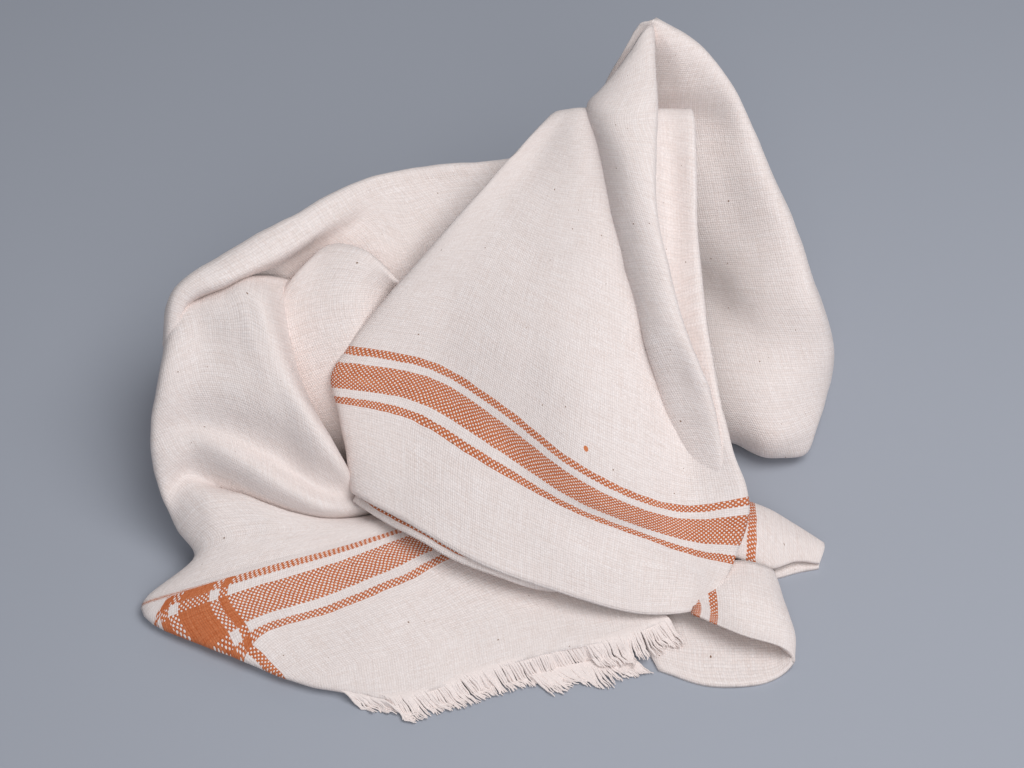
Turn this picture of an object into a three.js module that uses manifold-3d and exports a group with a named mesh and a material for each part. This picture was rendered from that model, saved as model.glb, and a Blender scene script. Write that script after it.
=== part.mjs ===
// A handwoven cotton towel, dropped in soft folds on a flat surface.
// Millimetres, +Z up, the viewer stands at -Y. Every point of a section is [across, back, up].
import * as THREE from 'three';
import { mergeVertices } from 'three/addons/utils/BufferGeometryUtils.js';
import Module from 'manifold-3d';

const wasm = await Module();
wasm.setup();

// Driving sizes
const CLOTH = 1.8; // thickness of the soft, brushed cotton weave
const FLOOR_LEVEL = CLOTH / 2; // height of the middle of a sheet that lies flat on the surface
const CENTRE_SHIFT = [4.9, 5.2]; // moves the heap so that its origin is under its middle
const FOLD_STEPS = 2; // steps of the surface between two neighbours of a table
const WELD = 1e-4; // points nearer than this are one

// The front flap, with the wide rust border along its hem.
// Columns: hem, margin, stripe low, stripe middle, stripe high, quarter, half, upper, top, over, behind.
const FLAP = [
  { row: 'left tuck', at: [[-60, -40, 14], [-64, -27, 28], [-67, -13, 40], [-69, -4, 48], [-62, 4, 57],
    [-43, 22, 74], [-22, 38, 90], [6, 63, 110], [27, 88, 128], [31, 92, 118], [34, 102, 92]] },
  { row: 'left fold', at: [[-72, -56, 30], [-76, -38, 44], [-79, -24, 54], [-82, -13, 60], [-74, -2, 68],
    [-53, 16, 86], [-33, 32, 102], [-5, 58, 122], [20, 83, 134], [23, 90, 124], [28, 102, 94]] },
  { row: 'left face', at: [[-44, -77, 31], [-46, -57, 43], [-46, -35, 55], [-39, -24, 63], [-35, -14, 70],
    [-25, 8, 88], [-8, 35, 108], [11, 64, 125], [27, 81, 137], [29, 89, 127], [32, 102, 94]] },
  { row: 'middle left', at: [[-14, -95, 27], [-13, -77, 39], [-11, -58, 50], [-8, -44, 58], [-5, -35, 66],
    [2, -12, 86], [14, 23, 108], [26, 55, 127], [34, 80, 138], [35, 88, 128], [37, 102, 94]] },
  { row: 'middle', at: [[21, -106, 21], [22, -91, 33], [25, -77, 43], [27, -71, 51], [28, -63, 59],
    [32, -32, 81], [37, 14, 107], [41, 54, 128], [44, 80, 138], [44, 88, 128], [45, 102, 94]] },
  { row: 'middle right', at: [[54, -112, 14], [54, -100, 24], [56, -85, 34], [56, -80, 41], [57, -73, 48],
    [56, -38, 72], [55, 8, 101], [55, 53, 126], [56, 81, 137], [56, 89, 127], [56, 103, 94]] },
  { row: 'valley', at: [[76, -109, 10], [80, -98, 17], [81, -89, 25], [80, -80, 32], [79, -71, 38],
    [77, -42, 56], [73, 9, 87], [72, 58, 116], [71, 86, 133], [71, 94, 123], [71, 104, 94]] },
  { row: 'right edge', at: [[83, -107, 11], [90, -101, 15], [97, -90, 21], [103, -79, 32], [104, -69, 42],
    [96, -51, 58], [85, 10, 92], [83, 51, 116], [83, 85, 133], [82, 93, 123], [80, 104, 96]] },
  { row: 'right tuck', at: [[79, -98, 7], [84, -91, 10], [90, -82, 14], [95, -70, 20], [96, -60, 27],
    [88, -40, 42], [80, 20, 80], [78, 59, 104], [77, 90, 123], [76, 97, 118], [76, 106, 98]] },
];

// The second layer of the doubled towel, which shows under the hem.
// Columns: hem, inside.
const UNDER_HEM = [
  { row: 'left', at: [[-72, -59, 26], [-62, -38, 30]] },
  { row: 'left bend', at: [[-57, -71, 26], [-48, -50, 36]] },
  { row: 'left middle', at: [[-41, -82, 27], [-36, -64, 36]] },
  { row: 'middle', at: [[-26, -91, 25], [-22, -74, 34]] },
  { row: 'right middle', at: [[-6, -99, 23], [-4, -82, 31]] },
  { row: 'right', at: [[12, -103, 19], [12, -86, 28]] },
  { row: 'right end', at: [[32, -102, 15], [32, -86, 25]] },
];

// The narrow pleat that stands on the flap and rises to the peak.
// Columns: tucked, left edge, face, crest, behind.
const PLEAT = [
  { row: 'foot', at: [[84, -60, 33], [82, -62, 37], [88, -65, 39], [95, -66, 38], [93, -60, 34]] },
  { row: 'low', at: [[79, -43, 46], [74, -46, 51], [83, -50, 57], [92, -53, 58], [90, -45, 52]] },
  { row: 'knee', at: [[74, -23, 60], [67, -32, 69], [77, -36, 75], [87, -40, 74], [85, -30, 64]] },
  { row: 'lower', at: [[67, -7, 74], [60, -19, 86], [70, -24, 94], [79, -27, 92], [77, -12, 76]] },
  { row: 'middle', at: [[61, 16, 84], [54, 2, 98], [63, -6, 107], [71, -8, 106], [69, 7, 89]] },
  { row: 'upper', at: [[54, 47, 100], [46, 29, 116], [55, 20, 125], [64, 16, 124], [62, 28, 109]] },
  { row: 'high', at: [[48, 77, 114], [40, 59, 130], [50, 45, 140], [62, 41, 139], [60, 53, 125]] },
  { row: 'mouth', at: [[46, 99, 124], [35, 81, 141], [48, 67, 148], [64, 71, 148], [63, 80, 138]] },
  { row: 'lip', at: [[52, 108, 132], [40, 86, 144], [51, 91, 151], [64, 102, 152], [65, 112, 143]] },
  { row: 'peak', at: [[58, 116, 145], [47, 96, 146], [56, 108, 151], [64, 122, 154], [67, 128, 148]] },
];

// The back fold: it falls from the peak to a round foot, and its rear side reaches the surface.
// Columns: hidden side, quarter, half, outer edge, over, rear, rear foot.
const BACK = [
  { row: 'peak', at: [[58, 128, 146], [61, 130, 150], [64, 129, 152], [66, 128, 153],
    [68, 134, 148], [66, 140, 80], [66, 146, 0]] },
  { row: 'shoulder', at: [[52, 122, 138], [65, 122, 143], [75, 118, 147], [84, 120, 147],
    [86, 127, 140], [84, 136, 76], [86, 142, 0]] },
  { row: 'crown', at: [[44, 117, 122], [63, 116, 124], [84, 108, 131], [100, 108, 134],
    [102, 116, 124], [103, 127, 66], [110, 136, 0]] },
  { row: 'upper', at: [[42, 107, 104], [66, 107, 108], [90, 103, 114], [110, 96, 119],
    [113, 105, 109], [115, 114, 58], [117, 116, 0]] },
  { row: 'high', at: [[49, 91, 80], [73, 85, 88], [99, 79, 96], [120, 74, 103],
    [124, 84, 93], [130, 99, 48], [137, 105, 0]] },
  { row: 'middle', at: [[58, 79, 58], [83, 68, 68], [108, 59, 78], [131, 55, 86],
    [136, 65, 76], [139, 77, 38], [139, 82, 0]] },
  { row: 'crease', at: [[68, 58, 40], [93, 51, 50], [117, 34, 62], [140, 31, 66],
    [146, 42, 56], [151, 55, 28], [153, 60, 0]] },
  { row: 'swell', at: [[74, 34, 30], [97, 23, 42], [123, 16, 46], [149, 19, 42],
    [154, 28, 34], [155, 36, 16], [153, 38, 0]] },
  { row: 'belly', at: [[81, 11, 20], [102, -1, 30], [124, -4, 32], [148, 7, 26],
    [152, 14, 20], [152, 20, 10], [148, 22, 0]] },
  { row: 'foot', at: [[90, -3, 12], [108, -11, 17], [124, -18, 18], [143, -8, 16],
    [146, 0, 12], [146, 6, 6], [142, 10, 0]] },
  { row: 'underside', at: [[92, -4, 5], [106, -7, 7], [121, -16, 7], [139, -14, 6],
    [141, -6, 4], [140, 0, 2], [137, 4, 0]] },
  { row: 'tuck', at: [[87, 11, 0], [102, 11, 0], [117, 8, 0], [133, 5, 0],
    [134, 8, 0], [134, 11, 0], [132, 14, 0]] },
];

// The lower end with its fringe edge, and the left lobe that rises from it.
// Columns: floor, tuck, edge, then five across the face, and the hidden side.
const LOBE = [
  { row: 'fringe root', at: [[-38, -136, 0], [-54, -141, 0], [-65, -146, 3], [-48, -150, 4], [-31, -145, 5],
    [-5, -135, 6], [21, -128, 8], [47, -122, 8], [69, -112, 8]] },
  { row: 'below border', at: [[-60, -124, 0], [-78, -132, 0], [-92, -141, 4], [-72, -136, 8], [-46, -129, 10],
    [-18, -119, 11], [8, -110, 12], [35, -102, 10], [57, -95, 8]] },
  { row: 'border low', at: [[-84, -110, 0], [-101, -119, 0], [-116, -130, 5], [-109, -121, 10], [-78, -111, 14],
    [-47, -97, 16], [-27, -84, 16], [4, -75, 12], [40, -73, 8]] },
  { row: 'border high', at: [[-124, -92, 0], [-146, -96, 0], [-165, -103, 5], [-128, -97, 18], [-101, -89, 20],
    [-75, -80, 20], [-56, -72, 19], [-24, -56, 14], [13, -50, 8]] },
  { row: 'bulge', at: [[-130, -66, 0], [-139, -74, 6], [-142, -81, 14], [-133, -79, 24], [-113, -76, 27],
    [-93, -74, 26], [-73, -70, 22], [-51, -55, 14], [-20, -38, 8]] },
  { row: 'bulge crest', at: [[-140, -54, 0], [-147, -60, 8], [-151, -68, 18], [-140, -64, 32], [-122, -63, 33],
    [-102, -67, 29], [-80, -67, 22], [-56, -54, 12], [-29, -30, 6]] },
  { row: 'low valley', at: [[-146, -40, 0], [-153, -48, 14], [-157, -59, 28], [-148, -49, 33], [-132, -53, 28],
    [-114, -60, 22], [-92, -64, 17], [-66, -53, 8], [-34, -29, 4]] },
  { row: 'roll', at: [[-150, -26, 0], [-157, -36, 22], [-160, -49, 40], [-143, -43, 47], [-122, -52, 46],
    [-102, -62, 40], [-84, -66, 31], [-67, -57, 20], [-39, -32, 8]] },
  { row: 'high valley', at: [[-152, -10, 0], [-159, -24, 30], [-161, -40, 52], [-145, -35, 53], [-122, -40, 48],
    [-103, -48, 40], [-86, -56, 32], [-70, -53, 22], [-48, -34, 4]] },
  { row: 'face low', at: [[-154, 6, 0], [-159, -10, 38], [-159, -31, 64], [-140, -26, 68], [-119, -30, 68],
    [-102, -38, 62], [-86, -47, 56], [-76, -50, 40], [-72, -38, 10]] },
  { row: 'face middle', at: [[-155, 24, 0], [-158, 6, 46], [-155, -18, 76], [-138, -9, 80], [-123, -13, 81],
    [-112, -17, 81], [-102, -21, 75], [-98, -11, 58], [-98, 12, 26]] },
  { row: 'face top', at: [[-154, 44, 0], [-156, 24, 52], [-152, 4, 84], [-139, 2, 90], [-129, 4, 93],
    [-121, 7, 96], [-112, 3, 93], [-106, 12, 80], [-102, 32, 50]] },
  { row: 'under rim', at: [[-150, 56, 0], [-152, 34, 50], [-149, 14, 80], [-140, 11, 87], [-130, 14, 90],
    [-121, 18, 92], [-114, 23, 88], [-106, 29, 80], [-98, 45, 60]] },
];

// The rolled rim of the bowl, its inner wall and its rear wall. Each row goes from the left corner,
// where the roll turns down into the lobe, to the right end behind the peak.
// Rows go from the bottom of the bowl up over the roll and down to the surface behind.
const RIM = [
  { row: 'inside low', at: [[-147, 10, 52], [-143, 24, 48], [-124, 26, 42], [-102, 27, 42], [-82, 26, 46],
    [-64, 26, 60], [-54, 24, 56], [-39, 34, 62], [-15, 32, 68], [23, 66, 80], [60, 96, 82]] },
  { row: 'inside wall', at: [[-149, 2, 62], [-145, 19, 68], [-126, 26, 68], [-104, 33, 68], [-83, 39, 72],
    [-63, 43, 80], [-52, 40, 76], [-37, 50, 80], [-13, 46, 84], [23, 74, 94], [60, 102, 92]] },
  { row: 'inside top', at: [[-151, -5, 70], [-146, 9, 84], [-127, 17, 88], [-101, 38, 86], [-79, 53, 88],
    [-64, 60, 92], [-50, 58, 90], [-34, 65, 92], [-9, 66, 96], [23, 79, 101], [60, 108, 97]] },
  { row: 'roll inner', at: [[-152, -10, 77], [-147, 3, 93], [-126, 11, 99], [-100, 32, 99], [-78, 56, 98],
    [-65, 67, 98], [-49, 73, 97], [-31, 77, 98], [-7, 78, 101], [23, 84, 105], [60, 112, 103]] },
  { row: 'roll crest', at: [[-155, -9, 78], [-150, 5, 95], [-129, 22, 102], [-106, 40, 104], [-82, 61, 103],
    [-67, 72, 103], [-51, 79, 102], [-33, 82, 102], [-7, 84, 103], [23, 88, 107], [60, 117, 107]] },
  { row: 'roll outer', at: [[-158, -3, 70], [-156, 14, 82], [-135, 35, 84], [-111, 51, 88], [-87, 70, 89],
    [-70, 82, 89], [-53, 89, 89], [-34, 92, 89], [-7, 93, 91], [23, 98, 92.6], [60, 124, 95]] },
  { row: 'rear wall', at: [[-159, 16, 38], [-158, 38, 42], [-133, 57, 42], [-114, 81, 44], [-85, 92, 44],
    [-71, 106, 44], [-53, 109, 44], [-34, 119, 44], [-6, 117, 44], [25, 129, 46], [74, 132, 46]] },
  { row: 'rear foot', at: [[-158, 50, 0], [-160, 72, 0], [-130, 82, 0], [-112, 110, 0], [-80, 115, 0],
    [-69, 134, 0], [-47, 130, 0], [-31, 145, 0], [-3, 138, 0], [26, 149, 0], [78, 136, 0]] },
];

// The broad soft fold inside the bowl.
// Columns: left side, left, middle, right, right side.
const INNER = [
  { row: 'bottom', at: [[-90, -24, 6], [-83, -32, 12], [-75, -35, 16], [-60, -27, 12], [-35, -10, 4]] },
  { row: 'low', at: [[-101, -16, 20], [-91, -22, 32], [-77, -23, 38], [-62, -17, 38], [-39, 6, 22]] },
  { row: 'middle', at: [[-115, 4, 36], [-104, -3, 54], [-87, -3, 63], [-69, 0, 65], [-47, 19, 50]] },
  { row: 'high', at: [[-120, 20, 52], [-109, 15, 72], [-92, 17, 80], [-72, 17, 83], [-50, 26, 70]] },
  { row: 'crest', at: [[-105, 30, 66], [-96, 29, 86], [-86, 37, 92], [-68, 32, 94], [-51, 22, 84]] },
  { row: 'over', at: [[-101, 39, 56], [-93, 36, 78], [-83, 45, 84], [-67, 39, 84], [-51, 29, 72]] },
  { row: 'behind', at: [[-98, 41, 34], [-90, 43, 48], [-78, 49, 56], [-63, 46, 56], [-49, 43, 46]] },
];

// The fold that lies on the surface at the lower right, open towards the front.
// Columns: floor left, floor middle, floor right, round edge, top right, top middle, top left.
const RIGHT_FOLD = [
  { row: 'rear', at: [[58, -88, 0], [84, -84, 0], [108, -82, 0], [118, -85, 6], [113, -86, 13], [99, -85, 16],
    [78, -88, 12]] },
  { row: 'middle', at: [[52, -108, 0], [80, -108, 0], [113, -106, 0], [122, -108, 7], [115, -107, 15],
    [99, -104, 18], [78, -100, 13]] },
  { row: 'front', at: [[58, -119, 0], [80, -122, 0], [115, -122, 0], [124, -120, 6], [117, -122, 12],
    [99, -118, 14], [80, -106, 12]] },
  { row: 'lip', at: [[64, -133, 0], [86, -141, 0], [111, -139, 0], [123, -130, 4], [118, -127, 9],
    [100, -122, 12], [79, -110, 11]] },
];

// The small fold behind it, whose tip points to the right.
// Columns: floor front, floor rear, round edge, top, top front.
const RIGHT_TIP = [
  { row: 'hidden', at: [[88, -74, 0], [90, -50, 0], [88, -44, 10], [86, -58, 20], [84, -74, 16]] },
  { row: 'left', at: [[108, -84, 0], [108, -52, 0], [107, -45, 8], [106, -62, 15], [104, -80, 10]] },
  { row: 'middle', at: [[118, -84, 0], [119, -54, 0], [119, -49, 7], [118, -64, 12], [117, -82, 6]] },
  { row: 'right', at: [[131, -80, 0], [132, -60, 0], [131, -57, 5], [131, -67, 8], [130, -77, 5]] },
  { row: 'tip', at: [[140, -78, 0], [142, -70, 0], [143, -66, 3], [143, -69, 4], [140, -77, 3]] },
];

// A point on a smooth curve through the given points, at t from 0 to 1.
function curveAt(points) {
  const curve = new THREE.CatmullRomCurve3(points, false, 'centripetal');
  return (t) => curve.getPoint(t);
}

// A grid of points on the smooth surface through the sections.
function surface(sections) {
  const acrossCount = (sections[0].at.length - 1) * FOLD_STEPS + 1;
  const alongCount = (sections.length - 1) * FOLD_STEPS + 1;
  const ribs = sections.map(({ at }) => {
    const rib = curveAt(at.map(([x, y, z]) => new THREE.Vector3(x, y, z)));
    return Array.from({ length: acrossCount }, (_, i) => rib(i / (acrossCount - 1)));
  });
  const grid = Array.from({ length: alongCount }, () => []);
  for (let i = 0; i < acrossCount; i += 1) {
    const line = curveAt(ribs.map((rib) => rib[i]));
    for (let j = 0; j < alongCount; j += 1) {
      const point = line(j / (alongCount - 1));
      point.z = Math.max(point.z, FLOOR_LEVEL);
      grid[j].push(point);
    }
  }
  return grid;
}

// The direction square to the cloth at one point of the grid.
function normalAt(grid, j, i) {
  const rows = grid.length - 1;
  const columns = grid[0].length - 1;
  const along = grid[Math.min(j + 1, rows)][i].clone().sub(grid[Math.max(j - 1, 0)][i]);
  const across = grid[j][Math.min(i + 1, columns)].clone().sub(grid[j][Math.max(i - 1, 0)]);
  return across.cross(along).normalize();
}

// The grid given its thickness, as a closed solid. No point goes below the surface it lies on.
function thicken(grid, thickness) {
  const rows = grid.length;
  const columns = grid[0].length;
  const positions = [];
  for (const side of [1, -1]) {
    grid.forEach((line, j) => line.forEach((point, i) => {
      const moved = point.clone().addScaledVector(normalAt(grid, j, i), (side * thickness) / 2);
      positions.push(moved.x, moved.y, Math.max(moved.z, 0));
    }));
  }
  const top = (j, i) => j * columns + i;
  const bottom = (j, i) => rows * columns + j * columns + i;
  const faces = [];
  const quad = (a, b, c, d) => faces.push(a, b, c, a, c, d);
  for (let j = 0; j < rows - 1; j += 1) {
    for (let i = 0; i < columns - 1; i += 1) {
      quad(top(j, i), top(j, i + 1), top(j + 1, i + 1), top(j + 1, i));
      quad(bottom(j, i), bottom(j + 1, i), bottom(j + 1, i + 1), bottom(j, i + 1));
    }
  }
  for (let i = 0; i < columns - 1; i += 1) {
    quad(top(0, i), bottom(0, i), bottom(0, i + 1), top(0, i + 1));
    quad(top(rows - 1, i), top(rows - 1, i + 1), bottom(rows - 1, i + 1), bottom(rows - 1, i));
  }
  for (let j = 0; j < rows - 1; j += 1) {
    quad(top(j, 0), top(j + 1, 0), bottom(j + 1, 0), bottom(j, 0));
    quad(top(j, columns - 1), bottom(j, columns - 1), bottom(j + 1, columns - 1), top(j + 1, columns - 1));
  }
  const geometry = new THREE.BufferGeometry();
  geometry.setAttribute('position', new THREE.Float32BufferAttribute(positions, 3));
  geometry.setIndex(faces);
  return geometry;
}

function toSolid(geometry) {
  const merged = mergeVertices(geometry, WELD);
  const vertProperties = new Float32Array(merged.getAttribute('position').array);
  const triVerts = new Uint32Array(merged.getIndex().array);
  return new wasm.Manifold(new wasm.Mesh({ numProp: 3, vertProperties, triVerts }));
}

// The largest piece of a joined solid, without the grains that near-touching faces can leave.
function largest(solid) {
  return solid.decompose().reduce((best, piece) => (piece.volume() > best.volume() ? piece : best));
}

function toGeometry(solid) {
  const mesh = largest(solid).getMesh();
  const geometry = new THREE.BufferGeometry();
  geometry.setAttribute('position', new THREE.Float32BufferAttribute(mesh.vertProperties, 3));
  geometry.setIndex(Array.from(mesh.triVerts));
  geometry.computeVertexNormals();
  return geometry;
}

// The frayed warp ends along the lower end: a narrow strip parted from the cloth, and its strands.
const EDGE_COLUMN = 2; // the section column where the visible end of the cloth starts
const FRINGE_GAP = 0.9; // between the cloth and the strip
const FRINGE_FROM = 0.07; // the share of the end that turns under at the left and stays bare
const STRIP_WIDTH = 3;
const STRAND_PITCH = 2.7;
const STRAND_WIDTH = 1;
const STRAND_HEIGHT = 1;
const STRAND_LENGTH = 14;
const STRAND_RINGS = [0, 0.35, 0.7, 1]; // shares of its length
const STRAND_LANDS = 0.7; // the share of its length at which a strand lies down
const STRAND_FALL = 1.4; // how steeply it falls before that
const LENGTH_WAVES = [[1.5, 2.4], [1, 5.1]]; // the lengths vary from strand to strand in two waves
const SWAY_WAVE = [0.3, 1.7];
const STRIP_PARTS = 36;
const OVER_FOLD_FROM = 30; // right of here the strands lie on the lower fold, not on the surface
const OVER_FOLD_LEVEL = CLOTH + 0.5;

// The line of the cloth's end, with the way out of the cloth at each point.
function clothEnd(grid) {
  const line = grid[0].slice(EDGE_COLUMN * FOLD_STEPS);
  const inner = grid[1].slice(EDGE_COLUMN * FOLD_STEPS);
  const outward = line.map((point, i) => point.clone().sub(inner[i]).setZ(0).normalize());
  const path = new THREE.CatmullRomCurve3(line, false, 'centripetal');
  const turn = new THREE.CatmullRomCurve3(outward, false, 'centripetal');
  return { path, turn, length: path.getLength() };
}

function endAt(end, share) {
  const t = end.path.getUtoTmapping(FRINGE_FROM + share * (1 - FRINGE_FROM));
  return { point: end.path.getPoint(t), out: end.turn.getPoint(t).setZ(0).normalize() };
}

// A three-sided strand that falls from its root and rests level on what is under it.
function strand(end, share, k) {
  const { point, out } = endAt(end, share);
  const level = (point.x > OVER_FOLD_FROM ? OVER_FOLD_LEVEL : 0) + STRAND_HEIGHT / 2;
  const side = new THREE.Vector3(-out.y, out.x, 0);
  const wave = ([height, turn]) => height * Math.sin(k * turn);
  const length = LENGTH_WAVES.reduce((sum, numbers) => sum + wave(numbers), STRAND_LENGTH);
  const sway = wave(SWAY_WAVE);
  const start = FRINGE_GAP + STRIP_WIDTH / 2;
  const rings = STRAND_RINGS.map((reach) => {
    const centre = point.clone().addScaledVector(out, start + length * reach);
    centre.addScaledVector(side, sway * reach);
    const fallen = Math.max(1 - reach / STRAND_LANDS, 0) ** STRAND_FALL;
    centre.z = level + Math.max(point.z - level, 0) * fallen;
    return [
      centre.clone().addScaledVector(side, STRAND_WIDTH / 2).setZ(centre.z - STRAND_HEIGHT / 2),
      centre.clone().setZ(centre.z + STRAND_HEIGHT / 2),
      centre.clone().addScaledVector(side, -STRAND_WIDTH / 2).setZ(centre.z - STRAND_HEIGHT / 2),
    ];
  });
  const positions = rings.flat().flatMap((corner) => corner.toArray());
  const faces = [0, 2, 1];
  for (let ring = 0; ring < rings.length - 1; ring += 1) {
    for (let corner = 0; corner < 3; corner += 1) {
      const a = ring * 3 + corner;
      const b = ring * 3 + ((corner + 1) % 3);
      faces.push(a, b, a + 3, b, b + 3, a + 3);
    }
  }
  const last = (rings.length - 1) * 3;
  faces.push(last, last + 1, last + 2);
  const geometry = new THREE.BufferGeometry();
  geometry.setAttribute('position', new THREE.Float32BufferAttribute(positions, 3));
  geometry.setIndex(faces);
  return geometry;
}

function fringeStrip(end) {
  const rows = [FRINGE_GAP, FRINGE_GAP + STRIP_WIDTH / 2, FRINGE_GAP + STRIP_WIDTH];
  return rows.map((offset) => Array.from({ length: STRIP_PARTS + 1 }, (_, i) => {
    const { point, out } = endAt(end, i / STRIP_PARTS);
    return point.clone().addScaledVector(out, offset);
  })).reverse();
}

function fringe(grid) {
  const end = clothEnd(grid);
  const count = Math.floor(end.length / STRAND_PITCH);
  const strands = Array.from({ length: count }, (_, k) => toSolid(strand(end, (k + 0.5) / count, k)));
  const strip = toSolid(thicken(fringeStrip(end), CLOTH));
  return strands.reduce((whole, piece) => whole.add(piece), strip);
}

const lobe = surface(LOBE);
const folds = [
  lobe,
  ...[FLAP, UNDER_HEM, PLEAT, BACK, RIM, INNER, RIGHT_FOLD, RIGHT_TIP].map((table) => surface(table)),
];

const solids = folds.map((grid) => toSolid(thicken(grid, CLOTH)));
const joined = solids.reduce((whole, fold) => whole.add(fold));

const cotton = new THREE.MeshStandardMaterial({ color: 0xe4dad4, roughness: 0.95, metalness: 0 });
const towel = new THREE.Mesh(toGeometry(joined.translate([...CENTRE_SHIFT, 0])), cotton);
towel.name = 'towel';

const ends = new THREE.Mesh(toGeometry(fringe(lobe).translate([...CENTRE_SHIFT, 0])), cotton);
ends.name = 'fringe';

const group = new THREE.Group();
group.add(towel, ends);

export default group;
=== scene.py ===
# %% [markdown]
# # A handwoven towel dropped in soft folds
#
# The towel comes off the loom as one length of natural cotton. A rust border runs along each side
# and across each end, and the warp ends are left as a short fringe. Doubled along its length and
# let fall, it lies in a few large folds: a front flap, a narrow pleat that climbs to a peak, a back
# fold, a rolled rim with a hollow behind it, and the fringed end that spreads to the front.
#
# A cloth simulation could drop a towel, but it would fall in folds of its own. Here each fold is
# placed from a short table, and a smooth surface
# is passed through the table's rows.

# %% Load the fixed frame
import math

import bpy
import numpy as np
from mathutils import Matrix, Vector, noise


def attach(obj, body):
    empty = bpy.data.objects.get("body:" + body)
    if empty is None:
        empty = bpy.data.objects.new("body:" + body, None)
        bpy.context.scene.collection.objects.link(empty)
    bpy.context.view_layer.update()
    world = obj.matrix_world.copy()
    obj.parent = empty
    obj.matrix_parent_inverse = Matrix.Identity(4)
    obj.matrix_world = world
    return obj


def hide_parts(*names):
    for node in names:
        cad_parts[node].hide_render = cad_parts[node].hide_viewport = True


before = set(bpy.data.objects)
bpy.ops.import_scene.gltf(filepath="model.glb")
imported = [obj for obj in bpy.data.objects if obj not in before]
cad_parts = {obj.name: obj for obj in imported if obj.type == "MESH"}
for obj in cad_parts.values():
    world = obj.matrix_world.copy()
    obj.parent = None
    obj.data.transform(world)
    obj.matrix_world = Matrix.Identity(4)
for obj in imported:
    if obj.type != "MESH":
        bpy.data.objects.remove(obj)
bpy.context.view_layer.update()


# %% [markdown]
# The view comes first, because every fold is set against it. The towel is seen from the front and
# well above, so the camera stands in front of it and looks down. A long lens keeps the sides of
# the heap from leaning.

# %% Camera
VIEW_DOWN = 48.0  # degrees below the horizon
VIEW_DISTANCE = 0.867
VIEW_AIM = Vector((0.0049, 0.0052, 0.04))  # the middle of the heap
LENS_MM = 65.0
SENSOR_MM = 36.0


def add_camera():
    """The camera in front of the heap, looking down at its middle."""
    camera = bpy.data.objects.new("camera", bpy.data.cameras.new("camera"))
    camera.data.lens = LENS_MM
    camera.data.sensor_width = SENSOR_MM
    down = math.radians(VIEW_DOWN)
    camera.location = VIEW_AIM + Vector((0, -math.cos(down), math.sin(down))) * VIEW_DISTANCE
    camera.rotation_euler = (math.radians(90.0) - down, 0, 0)
    bpy.context.scene.collection.objects.link(camera)
    bpy.context.scene.camera = camera
    return camera


camera = add_camera()
print("camera stands at", [round(value, 3) for value in camera.location])

# %% [markdown]
# One function turns a colour from its hex value to the linear numbers that Blender renders with,
# and one adds a node with its settings and links. Both serve every material below, and the second
# also builds the fringe.

# %% Helpers for materials and node trees
def linear(hex_colour):
    """A linear colour from an sRGB hex value such as e4dad4."""
    channels = [int(hex_colour[k : k + 2], 16) / 255 for k in (0, 2, 4)]
    return [c / 12.92 if c <= 0.04045 else ((c + 0.055) / 1.055) ** 2.4 for c in channels] + [1.0]


def put(tree, kind, inputs=None, **settings):
    """Adds a node, with its settings, and gives each named or numbered input a value or a link."""
    made = tree.nodes.new(kind)
    for name, value in settings.items():
        setattr(made, name, value)
    for socket, value in (inputs or {}).items():
        if isinstance(value, bpy.types.NodeSocket):
            tree.links.new(value, made.inputs[socket])
        else:
            made.inputs[socket].default_value = value
    return made


def new_material(name):
    """An empty material: its node tree and its output node."""
    material = bpy.data.materials.new(name)
    material.use_nodes = True
    material.node_tree.nodes.clear()
    return material, material.node_tree, material.node_tree.nodes.new("ShaderNodeOutputMaterial")


print("mid grey 808080 is", round(linear("808080")[0], 3), "in linear numbers")

# %% [markdown]
# The floor is a plain pale board with a slight grain. It is staging and not part of the object. It
# is far larger than the view from the front, so that no edge of it shows there.

# %% Floor
FLOOR_SIZE = 6.0
FLOOR_COLOUR = "a2a6b0"
FLOOR_GRAIN_PER_METRE = 900.0
FLOOR_GRAIN_HEIGHT = 0.0002


def floor_material():
    """Matt painted board: an even, rough coat with a faint mottle."""
    material, tree, output = new_material("matt painted board")
    place = put(tree, "ShaderNodeTexCoord").outputs["Object"]
    mottle = put(tree, "ShaderNodeTexNoise", {"Vector": place, "Scale": FLOOR_GRAIN_PER_METRE})
    bump = put(tree, "ShaderNodeBump", {
        "Height": mottle.outputs["Fac"], "Strength": 0.05, "Distance": FLOOR_GRAIN_HEIGHT,
    })
    shader = put(tree, "ShaderNodeBsdfPrincipled", {
        "Base Color": linear(FLOOR_COLOUR), "Roughness": 0.8, "Normal": bump.outputs["Normal"],
    })
    tree.links.new(shader.outputs["BSDF"], output.inputs["Surface"])
    return material


def add_floor():
    """One large square."""
    half = FLOOR_SIZE / 2
    mesh = bpy.data.meshes.new("floor")
    corners = [(-half, -half, 0), (half, -half, 0), (half, half, 0), (-half, half, 0)]
    mesh.from_pydata(corners, [], [(0, 1, 2, 3)])
    mesh.materials.append(floor_material())
    floor = bpy.data.objects.new("floor", mesh)
    bpy.context.scene.collection.objects.link(floor)


add_floor()
print("floor is", FLOOR_SIZE, "m wide")

# %% [markdown]
# The light is a wide soft panel overhead, a little in front of the heap and to the right, with a
# weaker one at the front and an even sky. Folds in cloth read by slow changes of shade, so no light
# is small or hard. The view transform leaves the colours as they are, without the look of film,
# which would grey the pale cotton.

# %% Lights
PANELS = {  # place, width in metres and power in watts
    "overhead": ((0.5, -0.2, 1.3), 0.9, 11.5),
    "front fill": ((0.2, -1.2, 1.0), 1.0, 7.5),
}
PANEL_AIM = Vector((0, 0, 0.05))
SKY_COLOUR = "dfe3ea"
SKY_STRENGTH = 0.3


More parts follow.
